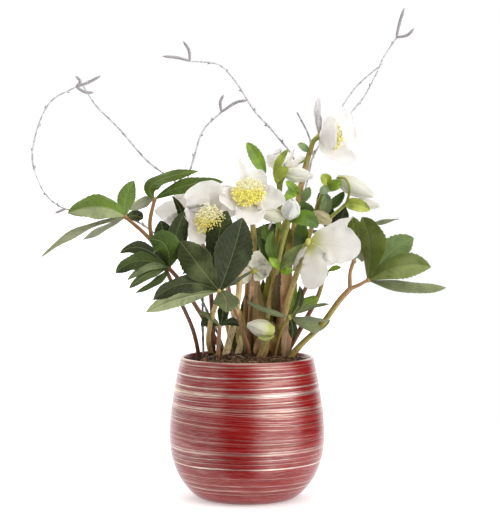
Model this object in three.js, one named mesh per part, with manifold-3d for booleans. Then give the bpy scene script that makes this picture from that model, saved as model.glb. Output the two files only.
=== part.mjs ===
// A white hellebore in a red lacquered pot, with bare catkin twigs stuck into the soil round it.
// Millimetres, +Z up. The origin is the centre of the pot's underside, and the plant's front faces -Y.
import * as THREE from "three";
import { mergeVertices } from "three/addons/utils/BufferGeometryUtils.js";
import Module from "manifold-3d";

const wasm = await Module();
wasm.setup();

// ---- driving dimensions ----
const POT_HEIGHT = 132.5;
const POT_RADIUS = 72.4; // at the widest, a little under half way up
const RIM_RADIUS = 62.5;
const FOOT_RADIUS = 40;
const POT_WALL = 4.2;
const POT_FLOOR = 5;
const POT_SIDES = 30;
const SOIL_EDGE_Z = 126;
const SOIL_CROWN_RISE = 7; // how far the soil mounds up at the crown of the plant
const STEM_FOOT_Z = 122; // stems and twigs reach this far down into the soil
const GAP = 0.3; // between pieces that touch
const LEAF_THICKNESS = 1;
const PETAL_THICKNESS = 1;
const RECEPTACLE_RADIUS = 3.4; // the knob that the petals grow on
const HUB_RADIUS = 2.4; // where the leaflets of one leaf meet
const ARM_RADIUS = 1.8; // of the side arms of a large leaf

// ---- fineness of the faceted solids ----
const BLADE_STEPS = 3; // facets along a leaflet or petal
const BELLY_POINTS = 10; // rings up the pot's side
const TURNED_SIDES = 8;
const STEM_SIDES = 6;
const TWIG_SIDES = 5;
const SAME_POINT = 1e-3; // corners closer than this are one

// ---- finishes ----
const finish = (color, roughness) => new THREE.MeshStandardMaterial({ color, roughness, metalness: 0 });
const LACQUER = new THREE.MeshStandardMaterial({ color: 0xa8242c, roughness: 0.3, metalness: 0.2 });
const SOIL = finish(0x3a2b20, 1);
const BARK = finish(0x8d8890, 0.8);
const STEM_GREEN = finish(0x8f8a4a, 0.6);
const STEM_TAN = finish(0xa58f62, 0.6);
const STEM_RED = finish(0x8a4a38, 0.6);
const LEAF_DARK = finish(0x3d4f3c, 0.5);
const LEAF_GREEN = finish(0x5c7a3c, 0.5);
const PETAL_WHITE = finish(0xefeae6, 0.7);
const STAMEN_YELLOW = finish(0xe0d052, 0.8);

// ---- shapes that the plant's parts share ----
const vector = ([x, y, z]) => new THREE.Vector3(x, y, z);

// A closed three.js geometry as a manifold-3d solid.
function solid(geometry) {
  const bare = geometry.index ? geometry.clone() : geometry;
  bare.deleteAttribute("normal");
  bare.deleteAttribute("uv");
  const merged = mergeVertices(bare, SAME_POINT);
  const vertProperties = Float32Array.from(merged.attributes.position.array);
  const triVerts = Uint32Array.from(merged.index.array);
  return new wasm.Manifold(new wasm.Mesh({ numProp: 3, vertProperties, triVerts }));
}

const join = (solids) => solids.reduce((all, next) => all.add(next));

// A solid round tube along a smooth path, tapering from its first radius to its last. It has a ring of corners
// at every point of the path, and its cross-section is carried along untwisted.
function tube(path, [startRadius, endRadius], { grow = 0, sides = STEM_SIDES } = {}) {
  const curve = new THREE.CatmullRomCurve3(path.map(vector), false, "centripetal");
  const steps = path.length - 1;
  const rings = [];
  let across = new THREE.Vector3(0.36, 0.48, 0.8);
  for (let i = 0; i <= steps; i += 1) {
    const tangent = curve.getTangent(i / steps);
    across = across.clone().projectOnPlane(tangent).normalize();
    const overhang = i === 0 ? -grow : i === steps ? grow : 0;
    const centre = curve.getPoint(i / steps).addScaledVector(tangent, overhang);
    rings.push({ centre, across, beside: across.clone().cross(tangent) });
  }
  const geometry = new THREE.CylinderGeometry(1, 1, 1, sides, steps);
  const position = geometry.attributes.position;
  for (let i = 0; i < position.count; i += 1) {
    const ring = Math.round((position.getY(i) + 0.5) * steps);
    const radius = THREE.MathUtils.lerp(startRadius, endRadius, ring / steps) + grow;
    const { centre, across: outX, beside: outZ } = rings[ring];
    const place = centre
      .clone()
      .addScaledVector(outX, radius * position.getX(i))
      .addScaledVector(outZ, radius * position.getZ(i));
    position.setXYZ(i, place.x, place.y, place.z);
  }
  return solid(geometry);
}

// Half width of a blade along its length, 1 at the widest: rise and fall set how full its base and tip are.
function outline(rise, fall, least) {
  const widest = rise / (rise + fall);
  const peak = widest ** rise * (1 - widest) ** fall;
  return (t) => Math.max(least, (t ** rise * (1 - t) ** fall) / peak);
}
const leafletOutline = outline(1, 0.6, 0.08);
const petalOutline = outline(0.6, 0.45, 0.16);

// A thin closed blade along a spine of three points: base, middle and tip. face is the way its upper side
// looks, and cup lifts its two edges towards that side, as a share of its half width.
function blade({ spine, width, face, cup, shape, thickness, grow = 0 }) {
  const [base, middle, tip] = spine.map(vector);
  const control = middle.clone().multiplyScalar(2).addScaledVector(base, -0.5).addScaledVector(tip, -0.5);
  const curve = new THREE.QuadraticBezierCurve3(base, control, tip);
  const geometry = new THREE.BoxGeometry(1, 1, 1, BLADE_STEPS, 2, 1);
  const position = geometry.attributes.position;
  for (let i = 0; i < position.count; i += 1) {
    const t = position.getX(i) + 0.5;
    const s = position.getY(i) * 2;
    const tangent = curve.getTangent(t);
    const side = vector(face).cross(tangent).normalize();
    const normal = tangent.clone().cross(side);
    const half = (width / 2) * shape(t) + grow;
    const lift = cup * s * s * half + position.getZ(i) * (thickness + 2 * grow);
    const place = curve.getPoint(t).addScaledVector(side, s * half).addScaledVector(normal, lift);
    position.setXYZ(i, place.x, place.y, place.z);
  }
  return solid(geometry);
}

const leaflet = (spine, width, face, cup = -0.15, grow = 0) =>
  blade({ spine, width, face, cup, shape: leafletOutline, thickness: LEAF_THICKNESS, grow });

function ball(centre, radius) {
  const geometry = new THREE.SphereGeometry(radius, STEM_SIDES, STEM_SIDES - 2);
  geometry.translate(...centre);
  return solid(geometry);
}

// A solid of revolution along the line from base to tip, from a profile of [radius, height] pairs.
function turned(base, direction, profile, sides = TURNED_SIDES) {
  const geometry = new THREE.LatheGeometry(profile.map(([r, h]) => new THREE.Vector2(r, h)), sides);
  const axis = direction.clone().normalize();
  const turn = new THREE.Quaternion().setFromUnitVectors(new THREE.Vector3(0, 1, 0), axis);
  geometry.applyQuaternion(turn);
  geometry.translate(...base);
  return solid(geometry);
}

// ---- the plant is gathered here; a later piece is notched where it would cut an earlier one ----
const plant = new THREE.Group();
const placed = [];
const larger = (one, other) => (other.volume() > one.volume() ? other : one);
const largest = (shape) => shape.decompose().reduce(larger);

// build(grow) makes the piece with every surface moved out by grow.
function place(name, material, build) {
  let shape = build(0);
  for (const earlier of placed) {
    if (shape.intersect(earlier.shape).volume() > 0) {
      shape = largest(shape.subtract(earlier.clearance()));
    }
  }
  placed.push({ shape, clearance: () => build(GAP) });
  const { vertProperties, triVerts } = shape.getMesh();
  const geometry = new THREE.BufferGeometry();
  geometry.setAttribute("position", new THREE.BufferAttribute(vertProperties, 3));
  geometry.setIndex(new THREE.BufferAttribute(triVerts, 1));
  geometry.computeVertexNormals();
  const mesh = new THREE.Mesh(geometry, material);
  mesh.name = name;
  plant.add(mesh);
}

const UPRIGHT = new THREE.Vector3(0, 0, 1);

// ---- pot ----
// Outer radius at a height, through the stations of the pot's belly.
const POT_STATIONS = [
  [FOOT_RADIUS, 0],
  [45.5, 1.6],
  [51.5, 6],
  [57.5, 12.5],
  [63.4, 21],
  [67.4, 30],
  [70.8, 42],
  [POT_RADIUS, 58],
  [71.5, 78],
  [67.5, 105],
  [RIM_RADIUS, 129.6],
];
const stations = POT_STATIONS.map(([r, z]) => new THREE.Vector2(r, z));
const potBelly = new THREE.SplineCurve(stations).getPoints(BELLY_POINTS);
const RIM_ROUND = [
  [RIM_RADIUS - 0.8, POT_HEIGHT - 0.9],
  [RIM_RADIUS - 2.1, POT_HEIGHT],
  [RIM_RADIUS - 3.4, POT_HEIGHT - 0.8],
];
const INNER_FOOT_ROUND = 4; // where the inside wall rounds into the floor
const aboveFloor = potBelly.filter((p) => p.y > POT_FLOOR + 1);

function pot() {
  const outside = potBelly.map((p) => [p.x, p.y]);
  const inside = aboveFloor.map((p) => [p.x - POT_WALL, p.y]).reverse();
  const floorEdge = inside.at(-1)[0] - INNER_FOOT_ROUND;
  const profile = [[0, 0], ...outside, ...RIM_ROUND, ...inside, [floorEdge, POT_FLOOR], [0, POT_FLOOR]];
  return turned([0, 0, 0], UPRIGHT, profile, POT_SIDES);
}

// ---- soil: fills the pot to just under the rim and mounds up round the crown ----
const soilEdge = RIM_RADIUS - POT_WALL + GAP;
const soilHeight = (radius) => SOIL_EDGE_Z + SOIL_CROWN_RISE * (1 - (radius / soilEdge) ** 2);
const SOIL_RINGS = [0.7, 0.35]; // shares of its radius where the mound has a ring of corners

function soil() {
  const wall = aboveFloor.filter((p) => p.y < STEM_FOOT_Z).map((p) => [p.x - POT_WALL - GAP, p.y]);
  const surface = SOIL_RINGS.map((share) => [soilEdge * share, soilHeight(soilEdge * share)]);
  const bottom = POT_FLOOR + GAP;
  const edges = [[wall[0][0] - INNER_FOOT_ROUND, bottom], ...wall, [soilEdge - GAP, SOIL_EDGE_Z]];
  return turned([0, 0, 0], UPRIGHT, [[0, bottom], ...edges, ...surface, [0, soilHeight(0)]], POT_SIDES);
}

// ---- stems: each goes down into the soil under the point where it leaves it ----
const rooted = (path) => [[path[0][0], path[0][1], STEM_FOOT_Z], ...path];

// ---- a leaf: its stalk, and a blade whose leaflets grow from the hub (joint 0) or the end of an arm ----
function leaf({ name, stalk, stalkRadii, stalkFinish, bladeFinish, arms = [], leaflets }) {
  const hub = stalk.at(-1);
  const joints = [hub, ...arms.map((arm) => arm.at(-1))];
  place(`${name}_stalk`, stalkFinish, (grow) =>
    tube(rooted(stalk), stalkRadii, { grow }).subtract(ball(hub, HUB_RADIUS + GAP - grow)),
  );
  place(`${name}_blade`, bladeFinish, (grow) => {
    const knobs = joints.map((joint, i) => ball(joint, (i ? ARM_RADIUS : HUB_RADIUS) + grow));
    const branches = arms.map((arm) => tube([hub, ...arm], [ARM_RADIUS, ARM_RADIUS * 0.8], { grow }));
    const blades = leaflets.map(({ on = 0, middle, tip, width, face, cup }) =>
      leaflet([joints[on], middle, tip], width, face, cup, grow),
    );
    return join([...knobs, ...branches, ...blades]);
  });
}

// ---- a flower: five petals on a knob, and a tuft of stamens in front of the knob ----
const THROAT_RADIUS = 2.4; // of the tuft where it leaves the knob
const PETAL_BELLY = 2; // how far a petal bows outward at its middle

function flower({ name, centre, axis, petals, tuft }) {
  const facing = vector(axis).normalize();
  if (tuft) {
    place(`${name}_stamens`, STAMEN_YELLOW, (grow) => {
      const from = RECEPTACLE_RADIUS + GAP - grow;
      const top = tuft.height + grow;
      const wide = tuft.radius + grow;
      const head = [[wide, top * 0.72], [wide * 0.8, top], [0, top * 0.93]];
      return turned(centre, facing, [[0, from], [THROAT_RADIUS, from], ...head]);
    });
  }
  place(`${name}_petals`, PETAL_WHITE, (grow) => {
    const heads = petals.map(({ tip, width, belly = PETAL_BELLY, face = axis }) => {
      const along = vector(tip).sub(vector(centre));
      const outward = vector(face).projectOnPlane(along.clone().normalize()).setLength(-belly);
      const base = vector(centre).addScaledVector(along, 0.05);
      const middle = vector(centre).addScaledVector(along, 0.5).add(outward);
      return blade({
        spine: [base.toArray(), middle.toArray(), tip],
        width,
        face,
        cup: 0.3,
        shape: petalOutline,
        thickness: PETAL_THICKNESS,
        grow,
      });
    });
    return join([ball(centre, RECEPTACLE_RADIUS + grow), ...heads]);
  });
}

// ---- a bud: closed petals round a pointed oval ----
function bud(name, base, tip, radius) {
  const along = vector(tip).sub(vector(base));
  const length = along.length();
  place(name, PETAL_WHITE, (grow) => {
    const profile = [
      [0, -grow],
      [radius * 0.62 + grow, length * 0.1],
      [radius + grow, length * 0.38],
      [radius * 0.86 + grow, length * 0.68],
      [radius * 0.4 + grow, length * 0.92],
      [0, length + grow],
    ];
    return turned(base, along, profile);
  });
}

// ---- twigs: thin bark-covered shoots with catkins at their tips ----
const TWIG_FOOT_RADIUS = 1.6;
const TWIG_TIP_RADIUS = 0.9;
const CATKIN_RADII = [1.2, 1.7];

function twig(name, route, { branches = [], catkins = [] } = {}) {
  const radii = [TWIG_FOOT_RADIUS, TWIG_TIP_RADIUS];
  place(name, BARK, (grow) =>
    join([
      tube(rooted(route), radii, { grow, sides: TWIG_SIDES }),
      ...branches.map((path) => tube(path, [TWIG_TIP_RADIUS, TWIG_TIP_RADIUS], { grow, sides: TWIG_SIDES })),
      ...catkins.map((path) => tube(path, CATKIN_RADII, { grow, sides: TWIG_SIDES })),
    ]),
  );
}

// ======== pot; its soil comes last, because each stem, stalk and twig stands in a socket of it ========
place("pot", LACQUER, () => pot());

// ======== flower stems, with the bracts that grow on them ========
// Ends of stems, which are also where their flowers sit.
const FLOWER_TOP = [67, 2, 337];
const FLOWER_FRONT = [1, -24, 281];
const FLOWER_LEFT = [-30, -22, 264];
const FLOWER_BACK = [-58, -2, 267];
const FLOWER_NODDING = [56, -34, 240];
const FLOWER_SMALL = [10, -4, 215];
const FLOWER_UPPER = [31, -4, 304];

const bract = (spine, width, face, grow) => leaflet(spine, width, face, 0.3, grow);

// head is the flower that the stem carries: its end is hollowed to sit against the flower's knob.
function stem(name, material, radii, path, { head, extras = () => [] } = {}) {
  place(name, material, (grow) => {
    const whole = join([tube(rooted(path), radii, { grow }), ...extras(grow)]);
    return head ? whole.subtract(ball(head, RECEPTACLE_RADIUS + GAP - grow)) : whole;
  });
}

const TOP_STEM = [
  [30, 10, 133],
  [36, 6, 184],
  [43, 8, 245],
  [51, 6, 295],
  [59, 3, 325],
  [62, 2, 333],
  FLOWER_TOP,
];
stem("flower_top_stem", STEM_TAN, [3.6, 2.3], TOP_STEM, {
  head: FLOWER_TOP,
  extras: (grow) => [
    bract([[58, 3, 323], [52, -1, 327], [47, -3, 330]], 7, [0, -1, 0.3], grow),
    bract([[56, 3, 315], [50, 0, 315], [45, -2, 311]], 6, [0, -1, 0.2], grow),
    bract([[48, 9, 275], [53, 6, 284], [58, 4, 291]], 11, [0, -1, 0.3], grow),
    bract([[47, 5, 262], [53, -5, 267], [58, -8, 274]], 11, [0, -1, 0.2], grow),
  ],
});

const FRONT_STEM = [
  [0, 2, 131],
  [4, -4, 171],
  [6, -9, 210],
  [6, -13, 246],
  [4, -15, 268],
  FLOWER_FRONT,
];
stem("flower_front_stem", STEM_RED, [3.2, 2.6], FRONT_STEM, { head: FLOWER_FRONT });

const LEFT_STEM = [
  [-20, -6, 131],
  [-12, -14, 166],
  [-7, -18, 205],
  [-12, -14, 236],
  [-24, -12, 256],
  FLOWER_LEFT,
];
stem("flower_left_stem", STEM_TAN, [3, 2.2], LEFT_STEM, { head: FLOWER_LEFT });

const BACK_STEM = [
  [-32, 22, 132],
  [-33, 18, 176],
  [-38, 12, 222],
  [-48, 6, 255],
  FLOWER_BACK,
];
stem("flower_back_stem", STEM_RED, [2.4, 1.7], BACK_STEM, { head: FLOWER_BACK });

const NODDING_STEM = [
  [23, -4, 131],
  [29, -8, 153],
  [42, -20, 200],
  [49, -27, 222],
  [53, -31, 236],
  FLOWER_NODDING,
];
stem("flower_nodding_stem", STEM_TAN, [3.2, 2.4], NODDING_STEM, { head: FLOWER_NODDING });

const SMALL_STEM = [
  [8, 12, 132],
  [10, 8, 175],
  [12, 4, 200],
  FLOWER_SMALL,
];
stem("flower_small_stem", STEM_GREEN, [2.2, 1.6], SMALL_STEM, { head: FLOWER_SMALL });

const UPPER_STEM = [
  [13, 20, 133],
  [18, 16, 185],
  [27, 10, 235],
  [31, 3, 275],
  [29, -3, 296],
  FLOWER_UPPER,
];
stem("flower_upper_stem", STEM_GREEN, [2.8, 1.9], UPPER_STEM, {
  head: FLOWER_UPPER,
  extras: (grow) => [
    bract([[29, -3, 295], [14, -8, 311], [0, -6, 331]], 14, [0, -1, 0.1], grow),
    bract([[29, -4, 297], [29, -14, 312], [39, -16, 325]], 9, [-0.3, -1, 0], grow),
    tube([[31, 1, 282], [32, -6, 295], [36, -9, 303]], [1.5, 1.5], { grow }),
  ],
});

// ======== bud stems ========
const BUD_ROUND_STEM = [
  [16, 4, 132],
  [19, -4, 171],
  [28, -14, 216],
  [32, -21, 237],
  [39, -31, 262],
];
stem("bud_round_stem", STEM_GREEN, [2.8, 2.4], BUD_ROUND_STEM, {
  extras: (grow) => [
    bract([[29, -15, 218], [20, -19, 231], [9, -20, 246]], 14, [0.1, -1, 0.1], grow),
    bract([[29, -15, 218], [24, -25, 234], [31, -27, 250]], 14, [-0.2, -1, 0], grow),
    bract([[29, -15, 218], [22, -12, 236], [21, -10, 252]], 12, [0.1, -1, 0], grow),
    bract([[29, -15, 218], [41, -21, 224], [52, -22, 232]], 14, [0, -1, 0.3], grow),
    bract([[38, -30, 260], [51, -37, 267], [61, -37, 259]], 12, [0, -0.8, 0.6], grow),
    bract([[34, -24, 244], [28, -21, 256], [14, -21, 262]], 5, [0, -0.4, 1], grow),
  ],
});

const BUD_RIGHT_STEM = [
  [24, 26, 132],
  [36, 20, 174],
  [50, 16, 217],
  [62, 10, 257],
  [66, 4, 274],
  [72, 0, 288],
];
const BUD_RIGHT_ARM = [
  [62, 10, 257],
  [72, 3, 258],
  [82, -3, 266],
  [92, -6, 275],
];
const BUD_HOOK = [
  [92, -6, 275],
  [95, -8, 288],
  [93, -10, 299],
  [83, -10, 300],
];
stem("bud_right_stem", STEM_TAN, [2.6, 1.9], BUD_RIGHT_STEM, {
  extras: (grow) => [
    tube(BUD_RIGHT_ARM, [1.8, 1.6], { grow }),
    tube(BUD_HOOK, [1.4, 1.2], { grow }),
    bract([[92, -6, 274], [99, -14, 278], [113, -14, 272]], 11, [0, -1, 0.3], grow),
    bract([[72, 0, 287], [76, -10, 296], [70, -14, 304]], 12, [0, -1, 0.2], grow),
    bract([[72, 0, 287], [64, -6, 292], [68, -10, 284]], 10, [0, -1, 0.2], grow),
  ],
});

const BUD_LOW_STEM = [
  [10, -22, 130],
  [8, -25, 143],
  [10, -29, 155],
];
stem("bud_low_stem", STEM_GREEN, [2.6, 2.2], BUD_LOW_STEM);

const SHOOT_RIGHT = [
  [36, 8, 131],
  [52, 0, 162],
  [65, -5, 187],
  [70, -6, 202],
];
stem("shoot_right", STEM_RED, [2.8, 1.8], SHOOT_RIGHT, {
  extras: (grow) => [
    bract([[70, -6, 200], [71, -8, 208], [76, -7, 213]], 6, [0.3, -1, 0], grow),
    bract([[75, -7, 212], [81, -9, 215], [87, -9, 216]], 5, [0, -1, 0.6], grow),
  ],
});

// ======== leaves ========
leaf({
  name: "leaf_left_high",
  stalk: [[-45, 2, 131], [-50, -6, 157], [-65, -18, 193], [-77, -22, 220], [-87, -24, 241]],
  stalkRadii: [1.9, 1.8],
  stalkFinish: STEM_RED,
  bladeFinish: LEAF_GREEN,
  arms: [
    [[-97, -24, 251], [-111, -26, 263]],
    [[-89, -20, 258], [-85, -14, 279]],
  ],
  leaflets: [
    { on: 1, middle: [-134, -32, 274], tip: [-160, -34, 269], width: 21, face: [0, -0.8, 0.6] },
    { on: 1, middle: [-113, -18, 280], tip: [-107, -14, 295], width: 15, face: [-0.2, -1, 0] },
    { on: 1, middle: [-145, -34, 251], tip: [-185, -38, 228], width: 20, face: [-0.1, -0.7, 0.7] },
    { on: 1, middle: [-137, -21, 246], tip: [-150, -20, 241], width: 9, face: [0, -0.7, 0.7] },
    { on: 1, middle: [-102, -18, 264], tip: [-96, -12, 261], width: 10, face: [0, -1, 0.3] },
    { on: 2, middle: [-96, -6, 276], tip: [-108, 0, 270], width: 10, face: [0, -0.9, 0.4] },
    { on: 2, middle: [-83, -12, 294], tip: [-46, -5, 304], width: 20, face: [-0.3, -0.7, 0.7] },
    { on: 2, middle: [-57, -16, 293], tip: [-24, -12, 297], width: 13, face: [0.1, -0.8, 0.6] },
  ],
});

leaf({
  name: "leaf_front",
  stalk: [[-33, 6, 130], [-36, -10, 148], [-33, -26, 168], [-27, -42, 188], [-25, -50, 197]],
  stalkRadii: [2.4, 2.1],
  stalkFinish: STEM_TAN,
  bladeFinish: LEAF_DARK,
  leaflets: [
    { middle: [-13, -57, 230], tip: [-3, -50, 263], width: 33, face: [0.1, -1, 0.2] },
    { middle: [-34, -46, 234], tip: [-18, -36, 268], width: 22, face: [-0.3, -1, 0.1] },
    { middle: [-44, -59, 222], tip: [-59, -53, 241], width: 27, face: [-0.3, -1, 0.4] },
    { middle: [-56, -60, 204], tip: [-83, -62, 191], width: 21, face: [-0.1, -0.7, 0.7] },
    { middle: [-60, -51, 191], tip: [-90, -52, 178], width: 14, face: [0.1, 1, 0.3] },
    { middle: [-19, -59, 190], tip: [-19, -65, 179], width: 21, face: [0.2, -0.9, 0.4] },
    { middle: [-10, -45, 206], tip: [3, -40, 213], width: 8, face: [-0.5, -0.4, 0.8] },
  ],
});

leaf({
  name: "leaf_left_low",
  stalk: [[-22, 12, 131], [-32, 0, 153], [-42, -14, 172], [-50, -24, 186], [-61, -34, 205], [-71, -38, 217]],
  stalkRadii: [2.2, 1.9],
  stalkFinish: STEM_RED,
  bladeFinish: LEAF_DARK,
  leaflets: [
    { middle: [-73, -55, 238], tip: [-88, -52, 243], width: 23, face: [-0.2, -1, 0.4], cup: -0.35 },
    { middle: [-75, -30, 242], tip: [-79, -26, 259], width: 16, face: [0, -1, 0.2] },
    { middle: [-64, -37, 243], tip: [-54, -33, 267], width: 13, face: [0.4, -0.9, 0] },
    { middle: [-50, -28, 252], tip: [-69, -22, 281], width: 8, face: [0.3, -0.9, 0] },
    { middle: [-95, -34, 235], tip: [-115, -28, 230], width: 12, face: [0, -0.8, 0.6] },
    { middle: [-97, -45, 224], tip: [-118, -43, 214], width: 17, face: [0, -0.8, 0.6] },
    { middle: [-90, -47, 218], tip: [-107, -49, 208], width: 9, face: [0, -0.7, 0.7] },
    { middle: [-88, -52, 213], tip: [-105, -56, 201], width: 11, face: [0, -0.7, 0.7] },
    { middle: [-81, -43, 206], tip: [-100, -44, 196], width: 9, face: [0, -0.7, 0.7] },
  ],
});

leaf({
  name: "leaf_right",
  stalk: [[39, -6, 130], [49, -9, 143], [68, -13, 162], [86, -18, 187], [95, -20, 197]],
  stalkRadii: [3, 2.5],
  stalkFinish: STEM_GREEN,
  bladeFinish: LEAF_GREEN,
  arms: [
    [[95, -20, 212], [98, -19, 222]],
    [[104, -22, 202], [115, -24, 206]],
  ],
  leaflets: [
    { on: 2, middle: [117, -36, 233], tip: [103, -30, 262], width: 25, face: [-0.5, -0.8, 0.2], cup: -0.3 },
    { on: 1, middle: [99, -12, 243], tip: [95, -4, 267], width: 20, face: [-0.2, -1, 0.1] },
    { on: 2, middle: [132, -20, 229], tip: [152, -9, 242], width: 22, face: [0.1, -1, 0.3] },
    { on: 2, middle: [140, -37, 219], tip: [168, -41, 218], width: 25, face: [0, -0.8, 0.6] },
    { on: 2, middle: [148, -26, 199], tip: [183, -20, 198], width: 13, face: [0, -0.7, 0.7] },
    { on: 2, middle: [127, -11, 225], tip: [124, -6, 242], width: 9, face: [0.6, -0.8, 0.1] },
  ],
});

leaf({
  name: "leaf_low_right",
  stalk: [[25, -14, 131], [29, -25, 152], [33, -33, 163], [39, -39, 172]],
  stalkRadii: [1.7, 1.4],
  stalkFinish: STEM_RED,
  bladeFinish: LEAF_DARK,
  leaflets: [
    { middle: [21, -40, 177], tip: [7, -36, 184], width: 6, face: [0, -0.6, 0.8] },
    { middle: [52, -46, 187], tip: [74, -46, 187], width: 6, face: [0, -0.5, 0.9] },
    { middle: [57, -41, 174], tip: [76, -37, 168], width: 9, face: [0, -0.5, 0.9] },
    { middle: [54, -29, 166], tip: [65, -22, 153], width: 15, face: [0, -0.8, 0.6] },
    { middle: [48, -31, 186], tip: [48, -26, 200], width: 7, face: [-0.3, -1, 0] },
    { middle: [42, -35, 162], tip: [41, -31, 153], width: 7, face: [0, -1, 0.2] },
    { middle: [53, -31, 187], tip: [63, -28, 190], width: 9, face: [0, -0.8, 0.6] },
  ],
});

leaf({
  name: "leaf_low_left",
  stalk: [[-27, -12, 131], [-26, -16, 149], [-25, -21, 162]],
  stalkRadii: [2.2, 1.8],
  stalkFinish: STEM_RED,
  bladeFinish: LEAF_DARK,
  leaflets: [
    { middle: [-35, -31, 173], tip: [-45, -33, 175], width: 7, face: [0, -0.7, 0.7] },
    { middle: [-35, -18, 167], tip: [-42, -15, 161], width: 10, face: [0, -0.9, 0.4] },
    { middle: [-22, -24, 174], tip: [-23, -22, 184], width: 10, face: [0, -1, 0] },
    { middle: [-14, -24, 167], tip: [-6, -22, 162], width: 8, face: [0, -0.8, 0.6] },
  ],
});

leaf({
  name: "leaf_back_right",
  stalk: [[28, 40, 132], [46, 52, 172], [66, 54, 210], [83, 50, 239]],
  stalkRadii: [2.2, 1.8],
  stalkFinish: STEM_RED,
  bladeFinish: LEAF_DARK,
  leaflets: [
    { middle: [114, 50, 252], tip: [145, 46, 259], width: 17, face: [0, 0.2, 1] },
    { middle: [88, 36, 256], tip: [93, 24, 271], width: 16, face: [-0.3, -1, 0.4] },
    { middle: [102, 72, 232], tip: [112, 90, 216], width: 24, face: [0.5, 0.4, 1] },
    { middle: [80, 78, 242], tip: [77, 100, 228], width: 25, face: [0, 0.6, 1] },
    { middle: [64, 70, 247], tip: [48, 84, 236], width: 22, face: [-0.4, 0.6, 1] },
    { middle: [76, 40, 264], tip: [68, 33, 284], width: 15, face: [-0.2, -1, 0.2] },
  ],
});

leaf({
  name: "leaf_back_left",
  stalk: [[-14, 32, 132], [-20, 42, 163], [-24, 48, 191], [-24, 50, 214]],
  stalkRadii: [2.2, 1.8],
  stalkFinish: STEM_TAN,
  bladeFinish: LEAF_DARK,
  leaflets: [
    { middle: [-22, 76, 228], tip: [-25, 98, 212], width: 26, face: [0, 0.6, 1] },
    { middle: [-44, 68, 226], tip: [-58, 84, 212], width: 24, face: [-0.4, 0.5, 1] },
    { middle: [-6, 66, 228], tip: [6, 82, 214], width: 23, face: [0.4, 0.5, 1] },
    { middle: [-44, 54, 219], tip: [-62, 58, 205], width: 18, face: [-0.6, 0.2, 1] },
    { middle: [-6, 54, 215], tip: [11, 58, 201], width: 17, face: [0.5, 0.2, 1] },
    { middle: [8, 50, 238], tip: [32, 44, 252], width: 20, face: [0.1, -1, 0.3] },
    { middle: [10, 51, 212], tip: [34, 50, 220], width: 18, face: [0.1, -1, 0.4] },
  ],
});

// ======== flowers ========
flower({
  name: "flower_top",
  centre: FLOWER_TOP,
  axis: [0.95, -0.3, 0.05],
  tuft: { radius: 11, height: 20 },
  petals: [
    { tip: [61, 6, 377], width: 20 },
    { tip: [78, 22, 374], width: 26 },
    { tip: [103, 12, 350], width: 34 },
    { tip: [84, -21, 341], width: 28, belly: 5 },
    { tip: [101, -18, 314], width: 25 },
  ],
});
flower({
  name: "flower_front",
  centre: FLOWER_FRONT,
  axis: [0, -0.85, 0.5],
  tuft: { radius: 13, height: 12 },
  petals: [
    { tip: [-9, -16, 319], width: 16 },
    { tip: [16, -22, 305], width: 25 },
    { tip: [34, -34, 281], width: 27 },
    { tip: [4, -50, 258], width: 27 },
    { tip: [-24, -38, 277], width: 25 },
  ],
});
flower({
  name: "flower_left",
  centre: FLOWER_LEFT,
  axis: [-0.4, -0.85, -0.25],
  tuft: { radius: 12, height: 13 },
  petals: [
    { tip: [-43, -33, 294], width: 33 },
    { tip: [-12, -26, 285], width: 28 },
    { tip: [-52, -26, 245], width: 24 },
    { tip: [-20, -34, 240], width: 22 },
    { tip: [-58, -28, 267], width: 20 },
  ],
});
flower({
  name: "flower_back",
  centre: FLOWER_BACK,
  axis: [-0.5, 0.8, -0.2],
  petals: [
    { tip: [-85, 6, 268], width: 22 },
    { tip: [-73, 2, 243], width: 24 },
    { tip: [-56, 0, 291], width: 22 },
    { tip: [-38, 8, 278], width: 22 },
    { tip: [-44, 6, 250], width: 22 },
  ],
});
flower({
  name: "flower_nodding",
  centre: FLOWER_NODDING,
  axis: [0.75, 0.2, -0.6],
  tuft: { radius: 7, height: 16 },
  petals: [
    { tip: [98, -26, 264], width: 26, belly: 5, face: [0.4, 0.8, -0.6] },
    { tip: [105, -40, 230], width: 38, belly: 6, face: [0.1, 1, -0.25] },
    { tip: [84, 4, 221], width: 26, belly: 4 },
    { tip: [60, -42, 199], width: 29, belly: 5, face: [0.35, 0.9, 0] },
    { tip: [49, -17, 213], width: 20, belly: 4 },
  ],
});
flower({
  name: "flower_small",
  centre: FLOWER_SMALL,
  axis: [0.4, -0.9, 0.1],
  petals: [
    { tip: [-15, -8, 205], width: 14 },
    { tip: [23, -12, 221], width: 15 },
    { tip: [10, -10, 232], width: 14 },
    { tip: [15, -12, 203], width: 13 },
    { tip: [2, -8, 226], width: 12 },
  ],
});
flower({
  name: "flower_upper",
  centre: FLOWER_UPPER,
  axis: [0.1, 0.5, 0.85],
  petals: [
    { tip: [19, -6, 320], width: 14 },
    { tip: [30, 6, 326], width: 14 },
    { tip: [44, 10, 325], width: 14 },
    { tip: [54, 2, 317], width: 13 },
  ],
});

// ======== buds ========
bud("bud_upper", [34, -9, 303], [61, -10, 300], 7.5);
bud("bud_round", [39, -32, 262], [42, -46, 276], 9);
bud("bud_cream", [34, -23, 263], [11, -24, 267], 6.5);
bud("bud_nodding", [83, -10, 300], [115, -8, 283], 8.5);
bud("bud_right", [93, -6, 275], [123, -8, 273], 6);
bud("bud_right_cream", [75, 1, 258], [61, -2, 267], 6);
bud("bud_low", [10, -30, 155], [18, -36, 172], 10);

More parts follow.
